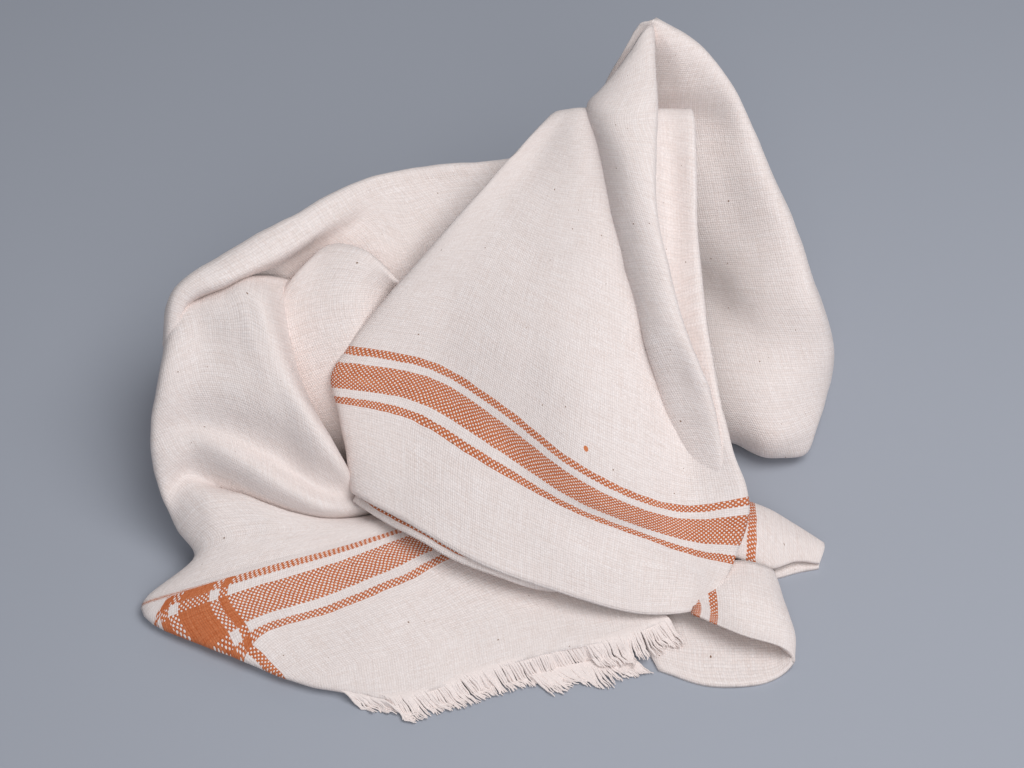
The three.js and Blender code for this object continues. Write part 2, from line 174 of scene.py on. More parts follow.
def add_panel(name, place, size, power):
    """A square light panel that faces the heap."""
    light = bpy.data.lights.new(name, "AREA")
    light.shape = "SQUARE"
    light.size = size
    light.energy = power
    panel = bpy.data.objects.new(name, light)
    panel.location = place
    panel.rotation_euler = (PANEL_AIM - Vector(place)).to_track_quat("-Z", "Y").to_euler()
    bpy.context.scene.collection.objects.link(panel)


def add_sky():
    """An even, slightly cool sky."""
    sky = bpy.data.worlds.new("studio")
    sky.use_nodes = True
    background = sky.node_tree.nodes["Background"].inputs
    background["Color"].default_value = linear(SKY_COLOUR)
    background["Strength"].default_value = SKY_STRENGTH
    bpy.context.scene.world = sky


for panel_name, panel_values in PANELS.items():
    add_panel(panel_name, *panel_values)
add_sky()
bpy.context.scene.view_settings.view_transform = "Standard"
print(len(PANELS), "panels and a sky")

# %% [markdown]
# Each fold is a table. A row is one section across the fold and a column is one line along it, and
# every entry is a point of the middle of the cloth: across, back and up, in millimetres, as a maker
# measures. The same tables shape the solid that this surface stands for. Many points could be
# measured on a real heap. A few that are chosen where a fold turns give a softer surface, and they
# are easier to move.

# %% Sizes of the cloth
MM = 0.001
HEAP_SHIFT = (4.9, 5.2, 0.0)  # moves the tables' origin to under the middle of the heap
CLOTH = 1.8  # thickness of the soft, brushed cotton
FLOOR_LEVEL = CLOTH / 2  # height of the middle of cloth that lies flat
print("cloth", CLOTH, "mm thick")

# %% [markdown]
# The front flap hangs from the top of the heap to the wide border along its hem, and its left side
# turns under. The towel is doubled, so the hem of a second layer shows below the first.

# %% The front flap and the second layer
# The front flap, with the wide rust border along its hem.
# Columns: hem, margin, stripe low, stripe middle, stripe high, quarter, half, upper, top, over, behind.
FLAP = {
    "left tuck": [
        (-60, -40, 14), (-64, -27, 28), (-67, -13, 40), (-69, -4, 48), (-62, 4, 57), (-43, 22, 74),
        (-22, 38, 90), (6, 63, 110), (27, 88, 128), (31, 92, 118), (34, 102, 92),
    ],
    "left fold": [
        (-72, -56, 30), (-76, -38, 44), (-79, -24, 54), (-82, -13, 60), (-74, -2, 68), (-53, 16, 86),
        (-33, 32, 102), (-5, 58, 122), (20, 83, 134), (23, 90, 124), (28, 102, 94),
    ],
    "left face": [
        (-44, -77, 31), (-46, -57, 43), (-46, -35, 55), (-39, -24, 63), (-35, -14, 70), (-25, 8, 88),
        (-8, 35, 108), (11, 64, 125), (27, 81, 137), (29, 89, 127), (32, 102, 94),
    ],
    "middle left": [
        (-14, -95, 27), (-13, -77, 39), (-11, -58, 50), (-8, -44, 58), (-5, -35, 66), (2, -12, 86),
        (14, 23, 108), (26, 55, 127), (34, 80, 138), (35, 88, 128), (37, 102, 94),
    ],
    "middle": [
        (21, -106, 21), (22, -91, 33), (25, -77, 43), (27, -71, 51), (28, -63, 59), (32, -32, 81),
        (37, 14, 107), (41, 54, 128), (44, 80, 138), (44, 88, 128), (45, 102, 94),
    ],
    "middle right": [
        (54, -112, 14), (54, -100, 24), (56, -85, 34), (56, -80, 41), (57, -73, 48), (56, -38, 72),
        (55, 8, 101), (55, 53, 126), (56, 81, 137), (56, 89, 127), (56, 103, 94),
    ],
    "valley": [
        (76, -109, 10), (80, -98, 17), (81, -89, 25), (80, -80, 32), (79, -71, 38), (77, -42, 56),
        (73, 9, 87), (72, 58, 116), (71, 86, 133), (71, 94, 123), (71, 104, 94),
    ],
    "right edge": [
        (83, -107, 11), (90, -101, 15), (97, -90, 21), (103, -79, 32), (104, -69, 42), (96, -51, 58),
        (85, 10, 92), (83, 51, 116), (83, 85, 133), (82, 93, 123), (80, 104, 96),
    ],
    "right tuck": [
        (79, -98, 7), (84, -91, 10), (90, -82, 14), (95, -70, 20), (96, -60, 27), (88, -40, 42),
        (80, 20, 80), (78, 59, 104), (77, 90, 123), (76, 97, 118), (76, 106, 98),
    ],
}

# The second layer of the doubled towel, which shows under the hem.
# Columns: hem, inside.
UNDER_HEM = {
    "left": [(-72, -59, 26), (-62, -38, 30)],
    "left bend": [(-57, -71, 26), (-48, -50, 36)],
    "left middle": [(-41, -82, 27), (-36, -64, 36)],
    "middle": [(-26, -91, 25), (-22, -74, 34)],
    "right middle": [(-6, -99, 23), (-4, -82, 31)],
    "right": [(12, -103, 19), (12, -86, 28)],
    "right end": [(32, -102, 15), (32, -86, 25)],
}

print("the flap has", len(FLAP), "sections")

# %% [markdown]
# A narrow pleat stands on the flap's right side. It starts in the flap's surface, grows to a soft
# ridge and ends in the peak. Behind it the back fold falls from the peak to a round foot.

# %% The pleat and the back fold
# The narrow pleat that stands on the flap and rises to the peak.
# Columns: tucked, left edge, face, crest, behind.
PLEAT = {
    "foot": [(84, -60, 33), (82, -62, 37), (88, -65, 39), (95, -66, 38), (93, -60, 34)],
    "low": [(79, -43, 46), (74, -46, 51), (83, -50, 57), (92, -53, 58), (90, -45, 52)],
    "knee": [(74, -23, 60), (67, -32, 69), (77, -36, 75), (87, -40, 74), (85, -30, 64)],
    "lower": [(67, -7, 74), (60, -19, 86), (70, -24, 94), (79, -27, 92), (77, -12, 76)],
    "middle": [(61, 16, 84), (54, 2, 98), (63, -6, 107), (71, -8, 106), (69, 7, 89)],
    "upper": [(54, 47, 100), (46, 29, 116), (55, 20, 125), (64, 16, 124), (62, 28, 109)],
    "high": [(48, 77, 114), (40, 59, 130), (50, 45, 140), (62, 41, 139), (60, 53, 125)],
    "mouth": [(46, 99, 124), (35, 81, 141), (48, 67, 148), (64, 71, 148), (63, 80, 138)],
    "lip": [(52, 108, 132), (40, 86, 144), (51, 91, 151), (64, 102, 152), (65, 112, 143)],
    "peak": [(58, 116, 145), (47, 96, 146), (56, 108, 151), (64, 122, 154), (67, 128, 148)],
}

# The back fold: it falls from the peak to a round foot, and its rear side reaches the surface.
# Columns: hidden side, quarter, half, outer edge, over, rear, rear foot.
BACK = {
    "peak": [
        (58, 128, 146), (61, 130, 150), (64, 129, 152), (66, 128, 153), (68, 134, 148), (66, 140, 80),
        (66, 146, 0),
    ],
    "shoulder": [
        (52, 122, 138), (65, 122, 143), (75, 118, 147), (84, 120, 147), (86, 127, 140), (84, 136, 76),
        (86, 142, 0),
    ],
    "crown": [
        (44, 117, 122), (63, 116, 124), (84, 108, 131), (100, 108, 134), (102, 116, 124),
        (103, 127, 66), (110, 136, 0),
    ],
    "upper": [
        (42, 107, 104), (66, 107, 108), (90, 103, 114), (110, 96, 119), (113, 105, 109),
        (115, 114, 58), (117, 116, 0),
    ],
    "high": [
        (49, 91, 80), (73, 85, 88), (99, 79, 96), (120, 74, 103), (124, 84, 93), (130, 99, 48),
        (137, 105, 0),
    ],
    "middle": [
        (58, 79, 58), (83, 68, 68), (108, 59, 78), (131, 55, 86), (136, 65, 76), (139, 77, 38),
        (139, 82, 0),
    ],
    "crease": [
        (68, 58, 40), (93, 51, 50), (117, 34, 62), (140, 31, 66), (146, 42, 56), (151, 55, 28),
        (153, 60, 0),
    ],
    "swell": [
        (74, 34, 30), (97, 23, 42), (123, 16, 46), (149, 19, 42), (154, 28, 34), (155, 36, 16),
        (153, 38, 0),
    ],
    "belly": [
        (81, 11, 20), (102, -1, 30), (124, -4, 32), (148, 7, 26), (152, 14, 20), (152, 20, 10),
        (148, 22, 0),
    ],
    "foot": [
        (90, -3, 12), (108, -11, 17), (124, -18, 18), (143, -8, 16), (146, 0, 12), (146, 6, 6),
        (142, 10, 0),
    ],
    "underside": [
        (92, -4, 5), (106, -7, 7), (121, -16, 7), (139, -14, 6), (141, -6, 4), (140, 0, 2),
        (137, 4, 0),
    ],
    "tuck": [
        (87, 11, 0), (102, 11, 0), (117, 8, 0), (133, 5, 0), (134, 8, 0), (134, 11, 0), (132, 14, 0),
    ],
}

print("the peak is", max(point[2] for row in PLEAT.values() for point in row), "mm high")

# %% [markdown]
# The lower end of the towel lies on the floor with its fringe edge to the front and one corner to
# the left. From the border on, it rises in a lobe, across which two valleys run down to the right.
# The first columns pass under the visible edge to the floor.

# %% The lower end and the left lobe
# The lower end with its fringe edge, and the left lobe that rises from it.
# Columns: floor, tuck, edge, then five across the face, and the hidden side.
LOBE = {
    "fringe root": [
        (-38, -136, 0), (-54, -141, 0), (-65, -146, 3), (-48, -150, 4), (-31, -145, 5), (-5, -135, 6),
        (21, -128, 8), (47, -122, 8), (69, -112, 8),
    ],
    "below border": [
        (-60, -124, 0), (-78, -132, 0), (-92, -141, 4), (-72, -136, 8), (-46, -129, 10),
        (-18, -119, 11), (8, -110, 12), (35, -102, 10), (57, -95, 8),
    ],
    "border low": [
        (-84, -110, 0), (-101, -119, 0), (-116, -130, 5), (-109, -121, 10), (-78, -111, 14),
        (-47, -97, 16), (-27, -84, 16), (4, -75, 12), (40, -73, 8),
    ],
    "border high": [
        (-124, -92, 0), (-146, -96, 0), (-165, -103, 5), (-128, -97, 18), (-101, -89, 20),
        (-75, -80, 20), (-56, -72, 19), (-24, -56, 14), (13, -50, 8),
    ],
    "bulge": [
        (-130, -66, 0), (-139, -74, 6), (-142, -81, 14), (-133, -79, 24), (-113, -76, 27),
        (-93, -74, 26), (-73, -70, 22), (-51, -55, 14), (-20, -38, 8),
    ],
    "bulge crest": [
        (-140, -54, 0), (-147, -60, 8), (-151, -68, 18), (-140, -64, 32), (-122, -63, 33),
        (-102, -67, 29), (-80, -67, 22), (-56, -54, 12), (-29, -30, 6),
    ],
    "low valley": [
        (-146, -40, 0), (-153, -48, 14), (-157, -59, 28), (-148, -49, 33), (-132, -53, 28),
        (-114, -60, 22), (-92, -64, 17), (-66, -53, 8), (-34, -29, 4),
    ],
    "roll": [
        (-150, -26, 0), (-157, -36, 22), (-160, -49, 40), (-143, -43, 47), (-122, -52, 46),
        (-102, -62, 40), (-84, -66, 31), (-67, -57, 20), (-39, -32, 8),
    ],
    "high valley": [
        (-152, -10, 0), (-159, -24, 30), (-161, -40, 52), (-145, -35, 53), (-122, -40, 48),
        (-103, -48, 40), (-86, -56, 32), (-70, -53, 22), (-48, -34, 4),
    ],
    "face low": [
        (-154, 6, 0), (-159, -10, 38), (-159, -31, 64), (-140, -26, 68), (-119, -30, 68),
        (-102, -38, 62), (-86, -47, 56), (-76, -50, 40), (-72, -38, 10),
    ],
    "face middle": [
        (-155, 24, 0), (-158, 6, 46), (-155, -18, 76), (-138, -9, 80), (-123, -13, 81),
        (-112, -17, 81), (-102, -21, 75), (-98, -11, 58), (-98, 12, 26),
    ],
    "face top": [
        (-154, 44, 0), (-156, 24, 52), (-152, 4, 84), (-139, 2, 90), (-129, 4, 93), (-121, 7, 96),
        (-112, 3, 93), (-106, 12, 80), (-102, 32, 50),
    ],
    "under rim": [
        (-150, 56, 0), (-152, 34, 50), (-149, 14, 80), (-140, 11, 87), (-130, 14, 90), (-121, 18, 92),
        (-114, 23, 88), (-106, 29, 80), (-98, 45, 60),
    ],
}

print("the lobe has", len(LOBE), "sections")

# %% [markdown]
# The rim is a roll of cloth around the hollow, with an inner wall towards the viewer and a rear
# wall that falls to the floor in soft waves. Inside the hollow one broad fold leans on the rim.

# %% The rim and the fold inside the hollow
# The rolled rim of the hollow, its inner wall and its rear wall. Each row goes from the left corner,
# where the roll turns down into the lobe, to the right end behind the peak.
# Rows go from the bottom of the hollow up over the roll and down to the surface behind.
RIM = {
    "inside low": [
        (-147, 10, 52), (-143, 24, 48), (-124, 26, 42), (-102, 27, 42), (-82, 26, 46), (-64, 26, 60),
        (-54, 24, 56), (-39, 34, 62), (-15, 32, 68), (23, 66, 80), (60, 96, 82),
    ],
    "inside wall": [
        (-149, 2, 62), (-145, 19, 68), (-126, 26, 68), (-104, 33, 68), (-83, 39, 72), (-63, 43, 80),
        (-52, 40, 76), (-37, 50, 80), (-13, 46, 84), (23, 74, 94), (60, 102, 92),
    ],
    "inside top": [
        (-151, -5, 70), (-146, 9, 84), (-127, 17, 88), (-101, 38, 86), (-79, 53, 88), (-64, 60, 92),
        (-50, 58, 90), (-34, 65, 92), (-9, 66, 96), (23, 79, 101), (60, 108, 97),
    ],
    "roll inner": [
        (-152, -10, 77), (-147, 3, 93), (-126, 11, 99), (-100, 32, 99), (-78, 56, 98), (-65, 67, 98),
        (-49, 73, 97), (-31, 77, 98), (-7, 78, 101), (23, 84, 105), (60, 112, 103),
    ],
    "roll crest": [
        (-155, -9, 78), (-150, 5, 95), (-129, 22, 102), (-106, 40, 104), (-82, 61, 103),
        (-67, 72, 103), (-51, 79, 102), (-33, 82, 102), (-7, 84, 103), (23, 88, 107), (60, 117, 107),
    ],
    "roll outer": [
        (-158, -3, 70), (-156, 14, 82), (-135, 35, 84), (-111, 51, 88), (-87, 70, 89), (-70, 82, 89),
        (-53, 89, 89), (-34, 92, 89), (-7, 93, 91), (23, 98, 92.6), (60, 124, 95),
    ],
    "rear wall": [
        (-159, 16, 38), (-158, 38, 42), (-133, 57, 42), (-114, 81, 44), (-85, 92, 44), (-71, 106, 44),
        (-53, 109, 44), (-34, 119, 44), (-6, 117, 44), (25, 129, 46), (74, 132, 46),
    ],
    "rear foot": [
        (-158, 50, 0), (-160, 72, 0), (-130, 82, 0), (-112, 110, 0), (-80, 115, 0), (-69, 134, 0),
        (-47, 130, 0), (-31, 145, 0), (-3, 138, 0), (26, 149, 0), (78, 136, 0),
    ],
}

# The broad soft fold inside the hollow.
# Columns: left side, left, middle, right, right side.
INNER = {
    "bottom": [(-90, -24, 6), (-83, -32, 12), (-75, -35, 16), (-60, -27, 12), (-35, -10, 4)],
    "low": [(-101, -16, 20), (-91, -22, 32), (-77, -23, 38), (-62, -17, 38), (-39, 6, 22)],
    "middle": [(-115, 4, 36), (-104, -3, 54), (-87, -3, 63), (-69, 0, 65), (-47, 19, 50)],
    "high": [(-120, 20, 52), (-109, 15, 72), (-92, 17, 80), (-72, 17, 83), (-50, 26, 70)],
    "crest": [(-105, 30, 66), (-96, 29, 86), (-86, 37, 92), (-68, 32, 94), (-51, 22, 84)],
    "over": [(-101, 39, 56), (-93, 36, 78), (-83, 45, 84), (-67, 39, 84), (-51, 29, 72)],
    "behind": [(-98, 41, 34), (-90, 43, 48), (-78, 49, 56), (-63, 46, 56), (-49, 43, 46)],
}

print("the rim has", len(RIM), "rows and the inner fold", len(INNER))

# %% [markdown]
# Two small folds look out at the lower right. One lies open towards the front, with its lower layer
# on the floor, and the other ends in a flat tip.

# %% The two folds at the lower right
# The fold that lies on the surface at the lower right, open towards the front.
# Columns: floor left, floor middle, floor right, round edge, top right, top middle, top left.
RIGHT_FOLD = {
    "rear": [
        (58, -88, 0), (84, -84, 0), (108, -82, 0), (118, -85, 6), (113, -86, 13), (99, -85, 16),
        (78, -88, 12),
    ],
    "middle": [
        (52, -108, 0), (80, -108, 0), (113, -106, 0), (122, -108, 7), (115, -107, 15), (99, -104, 18),
        (78, -100, 13),
    ],
    "front": [
        (58, -119, 0), (80, -122, 0), (115, -122, 0), (124, -120, 6), (117, -122, 12), (99, -118, 14),
        (80, -106, 12),
    ],
    "lip": [
        (64, -133, 0), (86, -141, 0), (111, -139, 0), (123, -130, 4), (118, -127, 9), (100, -122, 12),
        (79, -110, 11),
    ],
}

# The small fold behind it, whose tip points to the right.
# Columns: floor front, floor rear, round edge, top, top front.
RIGHT_TIP = {
    "hidden": [(88, -74, 0), (90, -50, 0), (88, -44, 10), (86, -58, 20), (84, -74, 16)],
    "left": [(108, -84, 0), (108, -52, 0), (107, -45, 8), (106, -62, 15), (104, -80, 10)],
    "middle": [(118, -84, 0), (119, -54, 0), (119, -49, 7), (118, -64, 12), (117, -82, 6)],
    "right": [(131, -80, 0), (132, -60, 0), (131, -57, 5), (131, -67, 8), (130, -77, 5)],
    "tip": [(140, -78, 0), (142, -70, 0), (143, -66, 3), (143, -69, 4), (140, -77, 3)],
}

print("the small folds have", len(RIGHT_FOLD), "and", len(RIGHT_TIP), "sections")

# %% [markdown]
# The curve is a centripetal Catmull-Rom curve, which passes through its points and makes no loops
# between points that are unevenly spaced. Used across the sections and then along them it gives a
# grid of points, and the grid is the middle of the cloth. A Subdivision Surface modifier would be
# less work, but it pulls a fold away from its points and blunts the crests.

# %% A smooth surface through the sections of a fold
FOLD_STEPS = 8  # grid steps between two neighbours of a table


def cubic_numbers(p0, p1, p2, p3):
    """The cubic that runs from p1 to p2 as a centripetal Catmull-Rom curve does."""
    def step(a, b):
        return np.maximum(np.linalg.norm(b - a, axis=-1, keepdims=True), 1e-9) ** 0.5

    before, middle, after = step(p0, p1), step(p1, p2), step(p2, p3)
    start = ((p1 - p0) / before - (p2 - p0) / (before + middle) + (p2 - p1) / middle) * middle
    end = ((p2 - p1) / middle - (p3 - p1) / (middle + after) + (p3 - p2) / after) * middle
    return p1, start, -3 * p1 + 3 * p2 - 2 * start - end, 2 * p1 - 2 * p2 + start + end


def smooth_line(points):
    """Points along smooth curves. The first axis of the array runs along them."""
    held = np.concatenate([2 * points[:1] - points[1:2], points, 2 * points[-1:] - points[-2:-1]])
    share = np.linspace(0, 1, FOLD_STEPS, endpoint=False).reshape(-1, *[1] * (points.ndim - 1))
    parts = []
    for k in range(len(points) - 1):
        a, b, c, d = cubic_numbers(*held[k : k + 4])
        parts.append(a + b * share + c * share**2 + d * share**3)
    return np.concatenate([*parts, points[-1:]])


def surface(table):
    """A grid of points in metres. Its first axis goes from row to row, its second across a row."""
    rows = np.array(list(table.values()), float) + HEAP_SHIFT
    across = np.swapaxes(smooth_line(np.swapaxes(rows, 0, 1)), 0, 1)
    grid = smooth_line(across)
    grid[..., 2] = np.maximum(grid[..., 2], FLOOR_LEVEL)
    return grid * MM


lobe = surface(LOBE)
print("the lobe's grid has", lobe.shape[0], "by", lobe.shape[1], "points")

# %% [markdown]
# Woven cloth carries its border and its threads wherever it folds, so each point of a fold also
# knows its place on the flat towel: how far from the side edge it is, and how far from the fringe.
# The pattern could be painted in place, but then it would have to be drawn again on each fold. By
# these places one rule draws it on all. Where no border shows, they are measured along the surface,
# so that the weave keeps its scale.

# %% Places on the flat towel
FAR_FROM_BORDER = 0.12  # distances of the cloth that carries no border start here


def spread(values):
    """Numbers given for each row or column of a table, at each point of the grid."""
    points = np.arange((len(values) - 1) * FOLD_STEPS + 1) / FOLD_STEPS
    return np.interp(points, range(len(values)), values)


def run(grid, axis):
    """The distance along the surface from its first line, on each line of the grid."""
    lengths = np.linalg.norm(np.diff(grid, axis=axis), axis=-1)
    lengths = np.concatenate([np.zeros_like(np.take(lengths, [0], axis=axis)), lengths], axis=axis)
    return np.cumsum(lengths, axis=axis)


def plain_places(grid, side=FAR_FROM_BORDER, end=FAR_FROM_BORDER):
    """Places of cloth that starts at these distances. Without them it carries no border."""
    return side + run(grid, 1), end + run(grid, 0).mean(axis=1, keepdims=True) + 0 * grid[..., 0]


print("the lobe is", round(float(run(lobe, 1).max()), 3), "m wide along its surface")

# %% [markdown]
# The flap's hem is a side edge of the towel, so its columns lie at set distances from the edge, and
# the border follows them. The smaller folds show only a piece of the border, and one distance
# places each.

# %% Places of the flap and the small folds
FLAP_FROM_HEM_MM = {
    "hem": 0, "margin": 19, "stripe low": 38, "stripe middle": 54, "stripe high": 70, "quarter": 105,
    "half": 150, "upper": 190, "top": 220, "over": 235, "behind": 260,
}
STRIPE_COLUMN = 3  # the column along which the flap's threads are counted
SECOND_LAYER_BORDER = 0.035  # the place of its hem: a thin stripe begins 3 mm inside
RIGHT_FOLD_BORDER = 0.051  # the place of the lower right fold's top left edge, in the wide stripe
RIGHT_TIP_BORDER = 0.0445  # the place of the small tip's hidden row


def flap_places(grid):
    """The border lies along the hem, and the threads are counted along the border."""
    side = spread(list(FLAP_FROM_HEM_MM.values())) * MM + 0 * grid[..., 0]
    along = run(grid, 0)[:, STRIPE_COLUMN * FOLD_STEPS][:, None]
    return side, FAR_FROM_BORDER + along + 0 * grid[..., 0]


def second_layer_places(grid):
    """The second layer: the border starts just inside its hem."""
    return plain_places(grid, side=SECOND_LAYER_BORDER)


def right_fold_places(grid):
    """The lower right fold: its top left edge runs into the border again."""
    side, end = plain_places(grid, side=0.0)
    return side - side[:, -1:] + RIGHT_FOLD_BORDER, end


def right_tip_places(grid):
    """The small tip: a thin stripe crosses it beside the flap."""
    across, along = plain_places(grid, end=0.0)
    return RIGHT_TIP_BORDER + along, across


print("the flap reaches", FLAP_FROM_HEM_MM["behind"], "mm from its hem")

# %% [markdown]
# On the lower end the side border and the end border cross near the corner. The distances are given
# at marks along the lobe's visible edge, and the side distance grows across it. Past the corner the
# side border turns under the lobe, so there the marks jump over it. At the tip the cloth bends
# down, and the end border bends with it.

# %% Places of the lower end and the lobe
LOBE_EDGE = 2 * FOLD_STEPS  # the grid column of the visible edge
LOBE_MARKS = (  # row of the table, distance from the side edge and from the fringe, millimetres
    (0, 97, 0), (1, 72, 35), (2, 63, 65), (3, 24, 97), (3.125, 84, 100), (4, 88, 120), (5, 92, 134),
    (6, 100, 148), (7, 108, 166), (8, 114, 182), (9, 124, 204), (10, 132, 226), (11, 140, 246),
    (12, 142, 256),
)
END_BORDER_OFFSET = 0.027  # the end border is this much further from its edge than the side border
CORNER_FROM = 0.040  # nearer to the side edge than this, the cloth bends down around the corner
CORNER_BEND = 1.5


def lobe_places(grid):
    """Distances from the marks along the edge, and from the edge across the surface."""
    rows, from_side, from_fringe = zip(*LOBE_MARKS)
    points = np.arange(len(grid)) / FOLD_STEPS
    across = run(grid, 1)
    across -= across[:, LOBE_EDGE][:, None]
    side = np.interp(points, rows, from_side)[:, None] * MM + across
    end = np.interp(points, rows, from_fringe)[:, None] * MM - END_BORDER_OFFSET
    return side, end + CORNER_BEND * np.maximum(CORNER_FROM - side, 0)


print("the lobe is placed by", len(LOBE_MARKS), "marks along its edge")

# %% [markdown]
# Soft cotton is never quite smooth. Slow waves a few centimetres long and fainter creases are
# added along the normal of each fold, by noise that depends only on the place, so that it is the
# same each time. A displacement modifier could do this too, but the numbers here also keep the
# cloth above the floor.

# %% Waves and small creases
RUMPLES_MM = ((0.9, 26.0), (0.35, 9.0))  # height and length of the waves, then of the creases


def normals(grid):
    """The direction square to the cloth at each point of a grid."""
    along, across = np.gradient(grid, axis=0), np.gradient(grid, axis=1)
    square = np.cross(across, along)
    return square / np.maximum(np.linalg.norm(square, axis=-1, keepdims=True), 1e-12)


def rumple(grid):
    """The grid with waves and creases. What lies on the floor stays on it."""
    heights = np.zeros(grid.shape[:2])
    for height, length in RUMPLES_MM:
        for index in np.ndindex(heights.shape):
            heights[index] += height * noise.noise(Vector(grid[index] / (length * MM)))
    moved = grid + normals(grid) * (heights * MM)[..., None]
    moved[..., 2] = np.maximum(moved[..., 2], FLOOR_LEVEL * MM)
    return moved


print("the lobe's points move by up to", round(float(np.abs(rumple(lobe) - lobe).max()), 4), "m")

# %% [markdown]
# The grid is the middle of the cloth. It gets its thickness on both sides and is closed around its
# border, so that every fold is a closed shell. The places go with it as a UV map, which here holds
# metres on the flat towel.

# %% From a grid to a closed sheet
PLACE_MAP = "towel place"


def closed_sheet(grid, side, end):
    """Vertices, faces and places of the grid given its thickness."""
    offset = normals(grid) * CLOTH / 2 * MM
    rows, columns = grid.shape[:2]
    vertices = np.concatenate([(grid + offset).reshape(-1, 3), (grid - offset).reshape(-1, 3)])
    vertices[:, 2] = np.maximum(vertices[:, 2], 0)
    top = np.arange(rows * columns).reshape(rows, columns)
    under = top + rows * columns
    a, b, c, d = top[:-1, :-1], top[:-1, 1:], top[1:, 1:], top[1:, :-1]
    sides = [np.stack([a, b, c, d], -1), np.stack([a, d, c, b], -1) + rows * columns]
    borders = [
        np.stack([top[0, :-1], under[0, :-1], under[0, 1:], top[0, 1:]], -1),
        np.stack([top[-1, :-1], top[-1, 1:], under[-1, 1:], under[-1, :-1]], -1),
        np.stack([top[:-1, 0], top[1:, 0], under[1:, 0], under[:-1, 0]], -1),
        np.stack([top[:-1, -1], under[:-1, -1], under[1:, -1], top[1:, -1]], -1),
    ]
    faces = np.concatenate([part.reshape(-1, 4) for part in sides + borders])
    places = np.stack([side, end], -1).reshape(-1, 2)
    return vertices, faces, np.concatenate([places, places])


def join_sheets(name, sheets, material):
    """One mesh object of several closed sheets, with their places as its UV map."""
    vertices, faces, places = (list(parts) for parts in zip(*sheets))
    starts = np.cumsum([0] + [len(part) for part in vertices[:-1]])
    faces = [part + start for part, start in zip(faces, starts)]
    mesh = bpy.data.meshes.new(name)
    mesh.from_pydata(np.concatenate(vertices).tolist(), [], np.concatenate(faces).tolist())
    mesh.shade_smooth()
    loops = np.empty(len(mesh.loops), int)
    mesh.loops.foreach_get("vertex_index", loops)
    uv_map = mesh.uv_layers.new(name=PLACE_MAP)
    uv_map.data.foreach_set("uv", np.concatenate(places)[loops].ravel())
    mesh.materials.append(material)
    made = bpy.data.objects.new(name, mesh)
    bpy.context.scene.collection.objects.link(made)
    return made


print("the lobe as a closed sheet has", len(closed_sheet(lobe, *lobe_places(lobe))[1]), "faces")

# %% [markdown]
# The cloth is a plain weave of hand-spun cotton: a warp thread and a weft thread pass over and
# under each other in turn. Threads could be modelled one by one, but the towel has hundreds of
# thousands of crossings, so the weave is a pattern on the places of the flat towel. The product of
# two sines is positive where the warp lies on top and negative where the weft does, and its size
# gives the crown of the thread.

# %% The threads of the weave
THREAD_MM = 1.06  # from one thread to the next, 24 threads to the inch
UNEVEN_MM = 0.32  # how far a hand-spun thread strays from its line
STRAYS_PER_METRE = 140.0
MIDDLE_GREY = (0.5, 0.5, 0.5)  # the middle of a noise texture's colours
STRAY_GAIN = 4  # those colours stray only about a quarter from their middle
CROWN_POWER = 0.5  # a square root, which makes a thread round on top


def thread_wave(tree, distance):
    """The sine that has one half wave for each thread."""
    turned = put(tree, "ShaderNodeMath", {
        0: distance, 1: math.pi / (THREAD_MM * MM),
    }, operation="MULTIPLY")
    return put(tree, "ShaderNodeMath", {0: turned.outputs[0]}, operation="SINE").outputs[0]


def strayed_place(tree, place):
    """How far from the side edge and from the fringe, with the threads a little out of line."""
    stray = put(tree, "ShaderNodeTexNoise", {
        "Vector": place, "Scale": STRAYS_PER_METRE, "Detail": 3.0,
    })
    centred = put(tree, "ShaderNodeVectorMath", {
        0: stray.outputs["Color"], 1: MIDDLE_GREY,
    }, operation="SUBTRACT")
    shifted = put(tree, "ShaderNodeVectorMath", {
        0: centred.outputs[0], 1: (UNEVEN_MM * STRAY_GAIN * MM,) * 3, 2: place,
    }, operation="MULTIPLY_ADD")
    split = put(tree, "ShaderNodeSeparateXYZ", {0: shifted.outputs[0]})
    return split.outputs["X"], split.outputs["Y"]


def crossings(tree, across, along):
    """The product of the two waves, one where the warp is on top, and the thread's crown."""
    weave = put(tree, "ShaderNodeMath", {
        0: thread_wave(tree, across), 1: thread_wave(tree, along),
    }, operation="MULTIPLY").outputs[0]
    warp_on_top = put(tree, "ShaderNodeMath", {0: weave, 1: 0.0}, operation="GREATER_THAN")
    size = put(tree, "ShaderNodeMath", {0: weave}, operation="ABSOLUTE")
    crown = put(tree, "ShaderNodeMath", {
        0: size.outputs[0], 1: CROWN_POWER,
    }, operation="POWER")
    return weave, warp_on_top.outputs[0], crown.outputs[0]


print("weave of", round(10 / THREAD_MM, 1), "threads a centimetre")

# %% [markdown]
# Stripes dye threads and not areas. In a border of one direction only the threads that run along it
# are rust, so it shows natural yarn between them, and where two borders cross all yarn is rust. The
# borders could be painted as plain bands, but from near by a band looks printed. A dyed thread
# covers a little more than its half of each crossing, as it does where threads are beaten close.

# %% The rust stripes
STRIPES_MM = ((38.0, 42.0), (46.7, 61.5), (66.0, 70.0))  # thin, wide and thin, from the side edge
WARP_BORDER_COVER = 0.38  # how far the dyed warp of a side border covers its undyed weft
WEFT_BORDER_COVER = 0.22  # the same for the dyed weft of the end border


